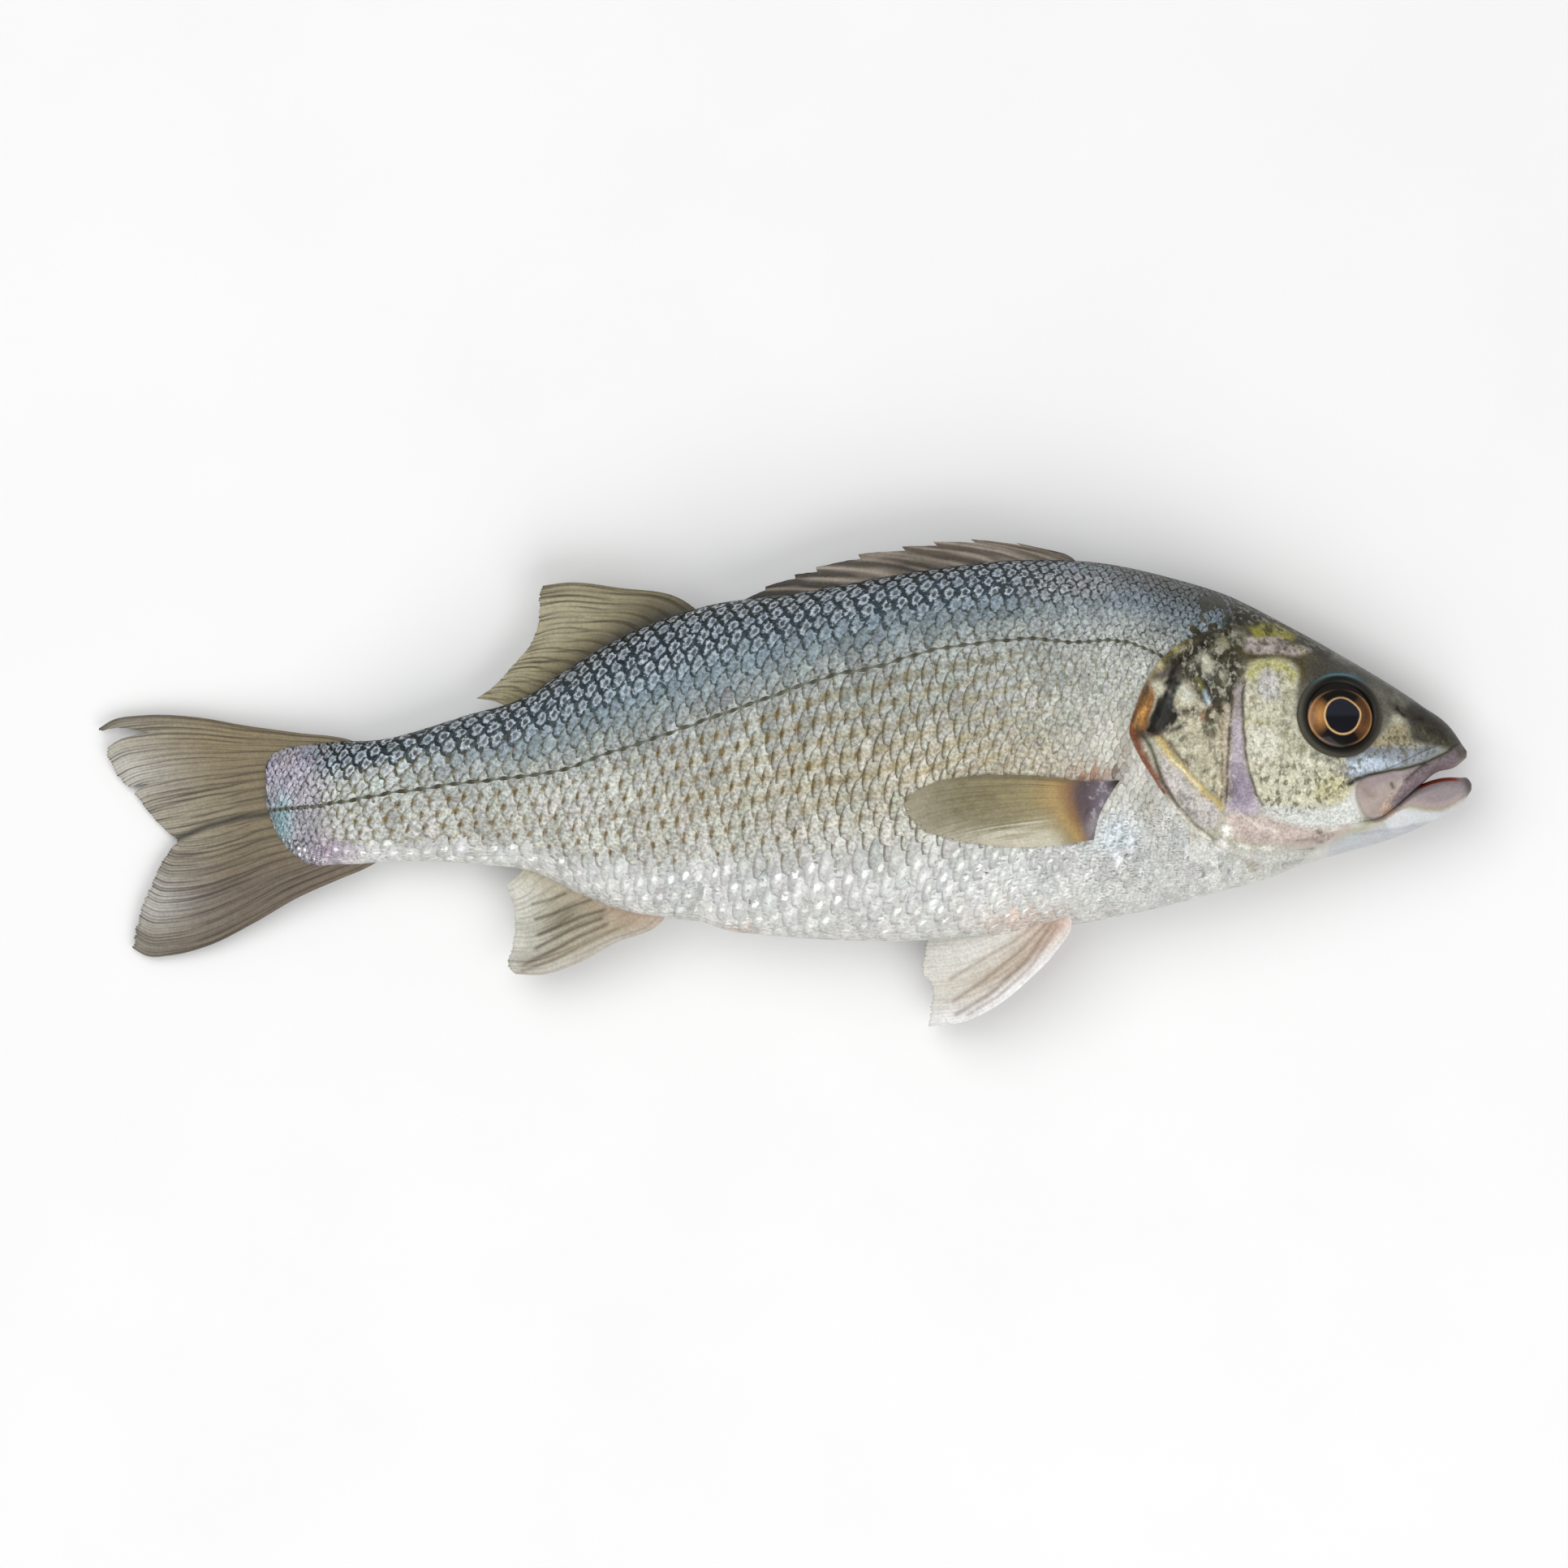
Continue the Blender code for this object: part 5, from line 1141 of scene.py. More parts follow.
# Skin of the head: rings that end in the rounded upper lip, red along the open mouth's roof.
def headSkin():
    stations = np.r_[np.linspace(skinSplit, 147.2, 220), 147.6, 148.0, 148.3, skinEnd]
    sides = 400
    top = smooth(fishForm["back"], stations)
    jawEdge = lambda x: smooth(fishForm["upperJawEdge"], x)
    bottom = np.where(stations < 112.0, smooth(fishForm["belly"], stations), jawEdge(stations))
    openLip = np.clip((bottom - wholeBottom(stations)) * 0.6, 0.01, fishForm["lipRounding"])
    rings = sectionRings(stations, top, bottom, sides, np.full_like(top, 0.01), openLip, 0.0, headRelief)
    x, y = rings[..., 0], rings[..., 1]
    colours = headColours(x, y)
    palate = ease((x - 134.0) / 4.0) * ease((jawEdge(np.clip(x, 112, 148.9)) + 0.35 - y) / 0.3)
    colours = mixed(colours, "#8d4a3e", palate * 0.8)
    nape = ease((99.0 - x) / 4.0) * ease((y - 33.0) / 3.0)
    colours = mixed(colours, "#454641", nape * 0.8)
    breast = ease((101.0 - x) / 4.0) * ease((-10.0 - y) / 4.0)
    colours = mixed(colours, "#cfcfca", breast)
    faces = ringFaces(len(stations), sides)
    addPiece("skin_head", rings, faces, headSkinMaterial, "skin", tint=colours, marks=headMarks(x, y))


# Lower jaw: rings with a rounded lip on top, orange red inside the mouth.
def lowerJaw():
    stations = np.r_[np.linspace(106.0, 147.0, 150), 147.6, 148.2, 148.8, 149.3, 149.7]
    sides = 200
    top, bottom = smooth(fishForm["lowerJawTop"], stations), smooth(fishForm["lowerJawBottom"], stations)
    lip = np.clip((top - bottom) * 0.4, 0.1, fishForm["lipRounding"])
    rings = sectionRings(stations, top, bottom, sides, lip, np.full_like(top, 0.01), 0.0, headRelief)
    x, y = rings[..., 0], rings[..., 1]
    colours = headColours(x, y)
    inside = ease((y - smooth(fishForm["lowerJawTop"], x) + 1.0) / 0.4) * ease((x - 137.0) / 2.0)
    colours = mixed(colours, "#8e3010", inside * ease((147.6 - x) / 1.5))
    addPiece("lower_jaw", rings, ringFaces(len(stations), sides), smoothSkinMaterial, "skin", tint=colours)


trunkSkin()
headSkin()
lowerJaw()
print("skinned the trunk, the head and the lower jaw")


# Grid between four side-view curves: (1-v) base + v edge + (1-u) leading + u trailing - corners.
def patchGrid(curves, columns, rows, reach=None):
    u = np.linspace(0.0, 1.0, columns + 1)
    v = np.linspace(0.0, 1.0, rows + 1)
    across, out = np.meshgrid(u, v)
    if reach is not None:
        out = out * reach(u)[None, :]
    base, edge = along(curves["base"], across), along(curves["edge"], across)
    leading, trailing = along(curves["leading"], out), along(curves["trailing"], out)
    a, b = across[..., None], out[..., None]
    corner = {key: np.asarray(curves[key], float) for key in ("base", "edge")}
    corners = (
        (1 - a) * (1 - b) * corner["base"][0] + a * (1 - b) * corner["base"][-1]
        + (1 - a) * b * corner["edge"][0] + a * b * corner["edge"][-1]
    )
    flat = (1 - b) * base + b * edge + (1 - a) * leading + a * trailing - corners
    return flat, across, out


# Plates of the head: hidden front edge and free rear edge in the side view, as in the solid.
headPlates = dict(
    gill_cover=dict(
        front=[(102.0, 32.0), (101.0, 18.0), (101.5, 4.0), (104.0, -8.0), (112.0, -13.5)],
        rear=[
            (98.5, 34.2), (90.2, 32.4), (84.0, 29.0), (79.6, 24.0), (76.4, 17.0), (74.9, 11.0), (77.2, 5.6),
            (80.4, 0.6), (83.6, -4.2), (88.2, -9.6), (93.4, -13.4), (101.4, -17.2), (112.0, -16.8),
        ],
        columns=280, rows=120, rise=1.0,
    ),
    cheek_plate=dict(
        front=[(112.5, 27.2), (110.5, 16.0), (111.5, 4.0), (118.0, -4.0), (126.0, -5.6)],
        rear=[
            (106.7, 26.5), (102.3, 25.2), (99.7, 20.3), (99.3, 11.5), (100.6, 2.6), (102.7, -3.5),
            (107.1, -6.7), (115.6, -9.4), (125.0, -8.6),
        ],
        columns=220, rows=80, rise=0.55,
    ),
    jaw_plate=dict(
        front=[(146.4, 7.6), (140.0, 3.6), (135.0, 0.2), (131.0, -2.6)],
        rear=[
            (145.4, 9.6), (138.0, 6.4), (130.0, 2.6), (123.4, 0.2), (123.6, -5.0), (127.0, -7.4),
            (130.2, -7.0),
        ],
        columns=180, rows=60, rise=0.6,
    ),
)


# A raised plate: rise = -0.3 + (rise + 0.3) v^0.7 above the skin, rounded to its free rear edge.
def headPlate(name, shape, side):
    curves = dict(
        base=shape["front"], edge=shape["rear"],
        leading=[shape["front"][0], shape["rear"][0]], trailing=[shape["front"][-1], shape["rear"][-1]],
    )
    flat, across, out = patchGrid(curves, shape["columns"], shape["rows"])
    x, y = flat[..., 0], flat[..., 1]
    skin = halfThickness(x, y)
    fade = np.clip(np.sin(math.pi * across) * 3, 0, 1)
    rounding = 0.35 * ease((out - 0.93) / 0.07)
    rise = -0.3 + (shape["rise"] + 0.3) * out ** 0.7 * fade - rounding * fade
    rise = rise + headRelief(x, y) * ease(out * 4)
    outer = np.maximum(middleHeight(x) + side * (skin + rise), fishForm["tableClearance"])
    inner = np.maximum(middleHeight(x) + side * (skin - 1.2), fishForm["tableClearance"] + 1.2)
    if side < 0:
        inner = np.maximum(inner, outer + 0.2)
    colours, marks = headColours(x, y), headMarks(x, y)
    points = np.stack([np.stack([x, y, height], axis=-1) for height in (outer, inner)])
    material = smoothSkinMaterial if name == "jaw_plate" else headSkinMaterial
    faces = facingOut(points, shellFaces(*x.shape))
    # The inner shell takes the colours at 0.6, so the wall at the free edge darkens downwards: painted shade
    # under the plate.
    addPiece(
        f"{name}_{sideNames[side]}", points, faces, material, "skin",
        tint=np.stack([colours, colours * 0.6]), marks=np.stack([marks, marks]),
    )


for side in sideNames:
    for name, shape in headPlates.items():
        headPlate(name, shape, side)
print("set the gill covers, cheek plates and jaw plates")

# The eye: a flattened ball turned to the slope of the head, with iris, pupil and a raised rim.
eyeShape = dict(radius=7.9, bulge=1.3, depth=1.9, pupil=3.75, irisWide=7.4, irisHigh=6.4, irisLow=0.55)


# Frame of the head's surface at a place: origin on the skin, two tangents and the outward normal.
def headFrame(place, side):
    x, y = (np.array([value, value + 4.0, value - 4.0]) for value in place)
    height = lambda px, py: middleHeight(px) + side * halfThickness(px, py)
    slopeX = (height(x[1:2], y[:1]) - height(x[2:3], y[:1]))[0] / 8.0
    slopeY = (height(x[:1], y[1:2]) - height(x[:1], y[2:3]))[0] / 8.0
    normal = np.array([-slopeX, -slopeY, 1.0]) * side
    normal /= np.linalg.norm(normal)
    forward = np.array([1.0, 0.0, slopeX]) / math.hypot(1.0, slopeX)
    upward = np.cross(normal, forward) * side
    origin = np.array([place[0], place[1], height(x[:1], y[:1])[0]])
    return origin, forward, upward, normal


# The ball: r = radius sin t, height = depth cos t. The pupil is a circle drawn out to a corner in
# front; inner is the distance from it in its own radii, outer that from the iris's oval edge.
def makeEye(side):
    origin, forward, upward, normal = headFrame(eyePlace, side)
    shape = eyeShape
    t = np.r_[np.linspace(0.0, math.pi / 2, 64)[1:], np.linspace(math.pi / 2, math.pi, 8)[1:-1]][:, None]
    angle = np.linspace(0.0, 2 * math.pi, 140, endpoint=False)[None, :]
    r = shape["radius"] * np.sin(t) + 0 * angle
    rise = shape["depth"] * np.cos(t) + shape["bulge"] - shape["depth"]
    a, b = r * np.cos(angle), r * np.sin(angle)
    points = origin + a[..., None] * forward + b[..., None] * upward + rise[..., None] * normal
    around = np.arctan2(b, a)
    lobe = lambda place, width: np.exp(-(((around - place + math.pi) % (2 * math.pi) - math.pi) / width) ** 2)
    edge = shape["pupil"] * (1 + 0.08 * lobe(0.12, 0.35) - 0.03 * lobe(0.9, 0.4))
    inner = np.hypot(a - 0.15, b + 0.25) / edge
    outer = np.hypot(a / shape["irisWide"], (b + shape["irisLow"]) / shape["irisHigh"])
    fibres = 0.5 * softNoise(around * 16.0, inner * 3.0, 1.0, 41) + 0.4 * softNoise(a, b, 1.1, 42)
    colours = flatColour("#8f5f36", a) * (1 + 0.35 * fibres)[..., None]
    colours = mixed(colours, "#cf9657", 0.85 * lobe(math.pi, 0.75) * np.exp(-((inner - 1.35) / 0.28) ** 2))
    colours = mixed(colours, "#a5703f", 0.6 * lobe(0.0, 0.9) * np.exp(-((inner - 1.7) / 0.2) ** 2))
    colours = mixed(colours, "#4a2f1a", 0.75 * lobe(0.0, 0.8))
    underShade = np.clip(1.9 * lobe(-math.pi / 2 - 0.1, 0.85), 0, 1)
    colours = mixed(colours, "#050302", underShade * ease((inner - 1.03) / 0.12))
    upperShade = np.clip(1.9 * lobe(math.pi / 2, 0.95), 0, 1)
    colours = mixed(colours, "#090706", upperShade * ease((inner - 1.02) / 0.1))
    colours = mixed(colours, "#3c2616", 0.55 * lobe(0.0, 0.5) * np.exp(-((inner - 1.4) / 0.12) ** 2))
    rimLight = (1 - 0.97 * lobe(math.pi / 2, 1.15)) * (1 - 0.92 * lobe(-math.pi / 2, 0.8))
    colours = mixed(colours, "#b98a58", rimLight * np.exp(-((outer - 0.955) / 0.028) ** 2) * 0.8)
    pupilRing = (1 - 0.45 * lobe(math.pi / 2, 0.6)) * np.exp(-((inner - 1.065) / 0.045) ** 2)
    colours = mixed(colours, "#e3bf8a", pupilRing * 0.9)
    colours = mixed(colours, "#14110c", ease((outer - 0.98) / 0.03))
    # The pupil is lighter towards its top: painted reflection.
    pupil = mixed(flatColour("#0b0c13", a), "#1f1f29", ease((b + 0.6) / 0.8))
    colours = mixed(colours, pupil, ease((1.02 - inner) / 0.03))
    rows, sides = r.shape
    faces = gridFaces(rows, sides, wrap=True).tolist()
    last = (rows - 1) * sides
    faces += [[(k + 1) % sides, k, rows * sides] for k in range(sides)]
    faces += [[last + k, last + (k + 1) % sides, rows * sides + 1] for k in range(sides)]
    faces = [face[::-1] for face in faces] if side > 0 else faces
    poles = origin + np.array([[shape["bulge"]], [shape["bulge"] - 2 * shape["depth"]]]) * normal
    points = np.concatenate([points.reshape(-1, 3), poles])
    tint = np.concatenate([colours.reshape(-1, 3), colours[0, :1], colours[-1, :1]])
    addPiece(f"eye_{sideNames[side]}", points, faces, eyeMaterial, "eyes", tint=tint)


# The raised rim round the eye: r = 8.35 + 1.15 cos, height = 0.95 sin of the turn round its section.
def makeEyeRim(side):
    origin, forward, upward, normal = headFrame(eyePlace, side)
    angle = np.linspace(0.0, 2 * math.pi, 144, endpoint=False)[:, None]
    turn = np.linspace(0.0, 2 * math.pi, 24, endpoint=False)[None, :]
    r = 8.35 + 1.15 * np.cos(turn) + 0.25 * np.cos(2 * angle)
    rise = -0.25 + 0.95 * np.sin(turn) + 0.10 * np.sin(3 * angle)
    a, b = r * np.cos(angle), r * np.sin(angle)
    points = origin + a[..., None] * forward + b[..., None] * upward + rise[..., None] * normal
    colours = stopsAt([
        (10.0, "#514e45"), (8.9, "#3c392f"), (8.2, "#211e19"), (7.7, "#120f0c"), (7.0, "#0c0a08"),
    ], r)
    # Along the top the rim's inner side is darkened, and a teal arc at r = 9.1 is a painted reflection.
    high = np.exp(-((angle - math.pi / 2) / 0.55) ** 2)
    colours = mixed(colours, "#12130f", high * ease((8.9 - r) / 0.5) * 0.95)
    colours = mixed(colours, "#4a7d8b", high * np.exp(-((r - 9.1) / 0.35) ** 2) * 0.85)
    faces = gridFaces(*r.shape, wrap=True)
    index = np.arange(r.size).reshape(r.shape)
    seam = np.stack([index[-1], np.roll(index[-1], -1), np.roll(index[0], -1), index[0]], axis=-1)
    faces = facingOut(points, np.concatenate([faces, seam]))
    addPiece(f"eye_rim_{sideNames[side]}", points, faces, smoothSkinMaterial, "skin", tint=colours)


for side in sideNames:
    makeEye(side)
    makeEyeRim(side)
print("made the eyes")

# Fins: side-view curves as in the solid, rays and their splits, thickness, and colours.
fins = dict(
    tail_fin=dict(
        base=[(-87.5, 6.2), (-97.0, 4.6), (-104.0, 0.0), (-105.0, -6.0), (-99.0, -11.5), (-84.0, -14.2)],
        edge=[
            (-150.0, 11.7), (-148.6, 8.5), (-147.9, 5.3), (-144.0, -0.5), (-141.7, -3.0),
            (-134.6, -10.9), (-132.5, -12.6), (-134.1, -14.3), (-136.9, -19.2), (-141.2, -29.5),
            (-142.6, -35.8),
        ],
        leading=[
            (-87.5, 6.2), (-94.5, 9.4), (-106.2, 11.0), (-118.2, 12.7), (-127.4, 14.3),
            (-140.1, 14.8), (-146.6, 13.8), (-150.0, 11.7),
        ],
        trailing=[
            (-84.0, -14.2), (-91.0, -18.5), (-96.5, -20.8), (-106.2, -25.1), (-115.9, -30.7),
            (-125.6, -35.5), (-133.8, -37.6), (-139.0, -37.8), (-142.6, -35.8),
        ],
        columns=600, rows=64, root=1.6, rim=0.45, sag=1.6, wave=0.7, waves=1.5,
        rays=22, splits=(0.30, 0.62), rayHeight=0.13,
        notches=[(0.072, 0.058, 0.012, 0.17), (0.279, 0.016, 0.014, 0.10)],
        lines=[("#2b2a21", 0.75, 0.85, [(-133.0, -12.4), (-126.0, -9.4), (-119.0, -7.6), (-111.0, -6.4)])],
        web=[(0.0, "#6a624b"), (0.25, "#7a6e54"), (0.6, "#82765e"), (1.0, "#a09a8b")],
        ray="#3a3226", rayPaint=0.85,
        washes=[
            ("#c6c4bd", 0.85, (0.20, 0.12), (1.0, 0.22)), ("#a9a299", 0.45, (0.42, 0.12), (1.0, 0.18)),
            ("#5d5149", 0.75, (0.85, 0.22), (0.6, 0.7)), ("#c2c0ba", 0.85, (0.80, 0.11), (1.0, 0.20)),
            ("#443c2f", 0.55, (0.0, 0.035), (0.55, 0.6)), ("#4a4238", 0.60, (1.0, 0.05), (0.7, 0.5)),
            ("#8b7c5c", 0.60, (0.10, 0.10), (0.5, 0.3)), ("#7e98a0", 0.60, (0.62, 0.20), (0.02, 0.08)),
            ("#6b5f55", 0.50, (0.97, 0.12), (0.35, 0.3)), ("#99917c", 0.55, (0.45, 0.10), (0.75, 0.25)),
        ],
    ),
    spiny_dorsal_fin=dict(
        base=[(66.5, 44.0), (52.0, 44.6), (24.0, 41.6), (2.0, 37.6), (-9.5, 35.6)],
        edge=[
            (57.0, 51.0), (50.3, 52.4), (39.1, 53.1), (26.2, 51.7), (16.6, 50.0), (7.5, 47.2),
            (-4.2, 42.7), (-9.3, 39.7),
        ],
        leading=[(66.5, 44.0), (62.5, 49.2), (57.0, 51.0)],
        trailing=[(-9.5, 35.6), (-9.5, 38.0), (-9.3, 39.7)],
        columns=400, rows=24, root=2.2, rim=0.5, sag=0.6, wave=0.3, waves=2.0,
        rays=10, splits=(2.0, 2.0), rayHeight=0.35, slant=0.30, rayWidth=0.24, streaks=(2.0, 4.5),
        tips=(-0.02, 0.10, 0.24, 0.36, 0.46, 0.60, 0.74, 0.81, 0.91, 1.02), tipDepth=0.13,
        web=[(0.0, "#14130e"), (0.3, "#3a342b"), (1.0, "#463f35")], ray="#b3a698", rayPaint=0.80,
        washes=[("#77695b", 0.4, (0.25, 0.25), (0.7, 0.4)), ("#1a1813", 0.75, (0.97, 0.28), (0.5, 0.8))],
    ),
    soft_dorsal_fin=dict(
        base=[(-15.0, 34.5), (-33.0, 29.0), (-45.0, 22.0), (-57.0, 14.5)],
        edge=[
            (-52.8, 43.0), (-53.5, 41.0), (-53.4, 37.0), (-54.6, 31.7), (-59.5, 25.2),
            (-64.0, 20.5), (-67.1, 18.5),
        ],
        leading=[(-15.0, 34.5), (-23.0, 40.4), (-35.6, 42.5), (-47.2, 43.7), (-52.8, 43.0)],
        trailing=[(-57.0, 14.5), (-62.5, 17.7), (-67.1, 18.5)],
        columns=300, rows=60, root=2.2, rim=0.45, sag=3.2, wave=0.6, waves=1.5,
        rays=12, splits=(0.4, 0.75), rayHeight=0.20,
        web=[(0.0, "#13120c"), (0.18, "#352f1e"), (0.36, "#7b7255"), (0.55, "#968e6f"), (1.0, "#aba489")],
        ray="#2f2919", rayPaint=0.88,
        washes=[("#6c6349", 0.6, (0.0, 0.10), (0.5, 0.6)), ("#aaa389", 0.5, (0.35, 0.2), (0.85, 0.3))],
    ),
    anal_fin=dict(
        base=[(-23.0, -25.5), (-33.0, -24.2), (-44.0, -20.0), (-54.0, -15.5)],
        edge=[
            (-58.8, -41.6), (-60.3, -40.0), (-59.4, -36.0), (-58.7, -31.0), (-59.1, -26.0),
            (-60.6, -22.6),
        ],
        leading=[
            (-23.0, -25.5), (-28.0, -31.4), (-35.6, -34.3), (-46.0, -39.7), (-52.4, -41.7),
            (-58.8, -41.6),
        ],
        trailing=[(-54.0, -15.5), (-57.5, -19.8), (-60.6, -22.6)],
        columns=260, rows=56, root=2.2, rim=0.45, sag=3.0, wave=0.5, waves=1.0,
        rays=10, splits=(0.4, 0.75), rayHeight=0.20,
        lines=[
            ("#4a4233", 0.45, 0.75, [(-53.4, -33.0), (-49.0, -31.2), (-44.0, -29.0), (-39.0, -27.6)]),
            ("#4a4233", 0.45, 0.75, [(-54.0, -36.0), (-49.6, -33.6), (-45.0, -31.4), (-39.6, -29.4)]),
            ("#4f4638", 0.40, 0.70, [(-54.0, -29.6), (-50.0, -28.4), (-45.6, -26.6), (-42.0, -25.4)]),
            ("#4f4638", 0.40, 0.60, [(-54.6, -26.4), (-51.0, -25.4), (-47.6, -24.0)]),
            ("#5a4838", 0.45, 0.70, [(-56.6, -39.6), (-50.6, -36.6), (-44.6, -33.4), (-38.6, -30.8)]),
            ("#6a5443", 0.45, 0.55, [(-57.0, -41.0), (-50.0, -38.4), (-43.0, -34.8), (-36.0, -31.6)]),
        ],
        web=[(0.0, "#b39a8d"), (0.2, "#a69a83"), (0.6, "#b2ae99"), (1.0, "#ccccc2")],
        ray="#6e6048", rayPaint=0.40,
        washes=[
            ("#b8b2ab", 0.75, (0.03, 0.06), (0.6, 0.6)), ("#b08f80", 0.5, (0.25, 0.3), (0.0, 0.2)),
            ("#d3d3ca", 0.75, (0.85, 0.2), (0.8, 0.4)), ("#4c4334", 0.60, (0.48, 0.13), (0.55, 0.25)),
            ("#5f4e3f", 0.55, (0.20, 0.07), (0.8, 0.25)),
        ],
    ),
    pelvic_fin=dict(
        base=[(62.0, -27.0), (59.5, -26.0), (57.0, -25.0)],
        edge=[
            (31.2, -53.1), (31.8, -49.6), (32.1, -44.3), (30.0, -41.2), (30.6, -37.0), (31.5, -32.2),
        ],
        leading=[
            (62.0, -27.0), (62.6, -31.0), (59.4, -36.4), (53.2, -42.9), (46.1, -48.6),
            (39.1, -52.0), (31.2, -53.1),
        ],
        trailing=[(57.0, -25.0), (49.0, -29.0), (41.0, -31.5), (31.5, -32.2)],
        columns=170, rows=80, root=2.4, rim=0.45, sag=0.0, wave=0.4, waves=1.0,
        rays=7, splits=(0.3, 0.6), rayHeight=0.12,
        lines=[
            ("#7d6a5c", 0.55, 0.60, [(59.0, -29.4), (52.8, -38.6), (44.5, -46.2), (37.6, -50.3)]),
            ("#806d5c", 0.45, 0.55, [(58.0, -29.4), (51.4, -36.5), (43.8, -42.7), (36.9, -47.5)]),
            ("#8d7b69", 0.45, 0.50, [(57.2, -28.8), (50.0, -34.4), (41.7, -39.3), (36.2, -42.7)]),
            ("#8d7872", 0.40, 0.50, [(59.4, -31.0), (54.0, -39.6), (46.5, -46.6), (40.0, -50.4)]),
        ],
        web=[(0.0, "#c7b0a4"), (0.4, "#c8c1b6"), (1.0, "#d5d4cd")], ray="#8f7a68", rayPaint=0.26,
        washes=[
            ("#c49c86", 0.60, (0.5, 0.4), (0.0, 0.25)), ("#ad9880", 0.60, (0.36, 0.14), (0.5, 0.4)),
            ("#ececec", 0.95, (0.05, 0.13), (0.65, 0.6)), ("#dfdfd8", 0.75, (0.82, 0.25), (0.7, 0.5)),
        ],
    ),
)
pelvicSpread, pelvicDroop = 5.0, 0.55


# Rays at a place of a fin: exp(-(distance from the nearest ray / width)^2), where each ray parts
# into two and then four branches as v passes the splits; slanted rays move back by slant * v.
def rayLines(u, v, shape, width):
    cell = (u - shape.get("slant", 0.0) * v) * shape["rays"]
    gap = np.abs(cell - np.floor(cell) - 0.5)
    first, second = shape["splits"]
    gap = np.abs(gap - 0.24 * ease((v - first) / 0.3))
    gap = np.abs(gap - 0.12 * ease((v - second) / 0.3))
    return np.exp(-(gap / width) ** 2)


# Colours of a fin: web colour along v, ray colour on the rays, streaks that run with the rays, and
# washes: (colour, strength, (middle u, reach), (middle v, reach)).
def finColours(shape, u, v, ray):
    colours = stopsAt(shape["web"][::-1], v)
    lane = (u - shape.get("slant", 0.0) * v) * shape["rays"]
    coarse, fine = shape.get("streaks", (5.0, 11.0))
    streak = softNoise(lane * coarse, v * 3.0, 1.0, 51) + 0.7 * softNoise(lane * fine, v * 6.0, 1.0, 52)
    for code, strength, (uPlace, uReach), (vPlace, vReach) in shape["washes"]:
        weight = np.exp(-((u - uPlace) / uReach) ** 2 - ((v - vPlace) / vReach) ** 2)
        colours = mixed(colours, code, np.clip(strength * weight * (1 + 0.3 * streak), 0, 1))
    return mixed(colours, shape["ray"], shape["rayPaint"] * np.clip(0.6 * ray + 0.45 * streak, 0, 1))


# A thin rayed fin: height = middle plane - sag v^1.6 + wave v sin(2 pi waves u + 0.6), thickness
# from root to rim by sqrt(v), and rays that stand up on both faces. Its outer edge is cut back
# between rays, at notches and, on a spiny fin, by (share left to the next tip) * tipDepth.
def makeFin(name, shape, side=0):
    # Share of the edge curve that the fin reaches at u.
    def reach(u):
        ragged = softNoise(u * 70.0, 0 * u, 1.0, 61) + 1
        ends = 1 - 0.006 * (1 - rayLines(u, 0.95, shape, 0.09)) - 0.006 * ragged
        for place, before, after, depth in shape.get("notches", []):
            ends = ends - depth * np.clip(1 - np.maximum((place - u) / before, (u - place) / after), 0, 1)
        if "tips" in shape:
            tips = np.array(shape["tips"])
            following = np.clip(np.searchsorted(tips, u), 1, len(tips) - 1)
            left = (tips[following] - u) / (tips[following] - tips[following - 1])
            ends = ends - shape["tipDepth"] * np.clip(left, 0, 1)
        return np.clip(ends, 0.02, 1.0)

    flat, u, v = patchGrid(shape, shape["columns"], shape["rows"], reach)
    x, y = flat[..., 0], flat[..., 1]
    ripple = shape["wave"] * v * np.sin(2 * math.pi * shape["waves"] * u + 0.6)
    if side:
        root = middleHeight(x) + side * pelvicSpread
        middle = root * (1 - pelvicDroop * v ** 1.3) + (1 + side) * 1.2 * v + ripple
    else:
        middle = middleHeight(x) - shape["sag"] * v ** 1.6 + ripple
    ray = rayLines(u, v, shape, shape.get("rayWidth", 0.13) - 0.06 * v)
    thick = shape["root"] + (shape["rim"] - shape["root"]) * np.sqrt(v)
    half = thick / 2 + shape["rayHeight"] * (ray - 0.4) * np.clip(v * 4, 0, 1) * (1 - 0.55 * v)
    half = np.maximum(half, 0.12)
    middle = np.maximum(middle, half + 0.4)
    points = np.stack([np.stack([x, y, middle + half], axis=-1), np.stack([x, y, middle - half], axis=-1)])
    colours = finColours(shape, u, v, ray)
    for code, width, strength, line in shape.get("lines", []):
        colours = mixed(colours, code, strength * ridgeOn(line, x, y, width))
    word = {0: "", 1: "_right", -1: "_left"}[side]
    faces = facingOut(points, shellFaces(*x.shape))
    addPiece(name + word, points, faces, finMaterial, "fins", tint=np.stack([colours, colours]))


for name, shape in fins.items():
    for side in ((1, -1) if name == "pelvic_fin" else (0,)):
        makeFin(name, shape, side)
print("made the tail, back, anal and pelvic fins")

pectoralFin = dict(
    base=[(72.8, 0.6), (70.4, -3.0), (68.2, -7.5), (67.2, -12.2)],
    edge=[(28.0, -2.0), (25.6, -4.4), (26.2, -8.0), (30.5, -11.0), (39.0, -13.0), (48.0, -14.0)],
    leading=[
        (72.8, 0.6), (65.2, 0.4), (58.0, 1.3), (48.7, 1.8), (39.1, 1.4), (32.6, 0.0), (28.0, -2.0),
    ],
    trailing=[(67.2, -12.2), (58.0, -13.6), (48.0, -14.0)],
    columns=200, rows=160, root=1.3, rim=0.40, lobe=1.1, rays=14, splits=(0.4, 0.7), sink=0.3,
    web=[
        (0.0, "#7a727a"), (0.07, "#695f67"), (0.13, "#4b3e44"), (0.17, "#54413f"), (0.21, "#80603f"),
        (0.28, "#a28856"), (0.42, "#8b805b"), (0.7, "#80785b"), (1.0, "#8b8570"),
    ],
)


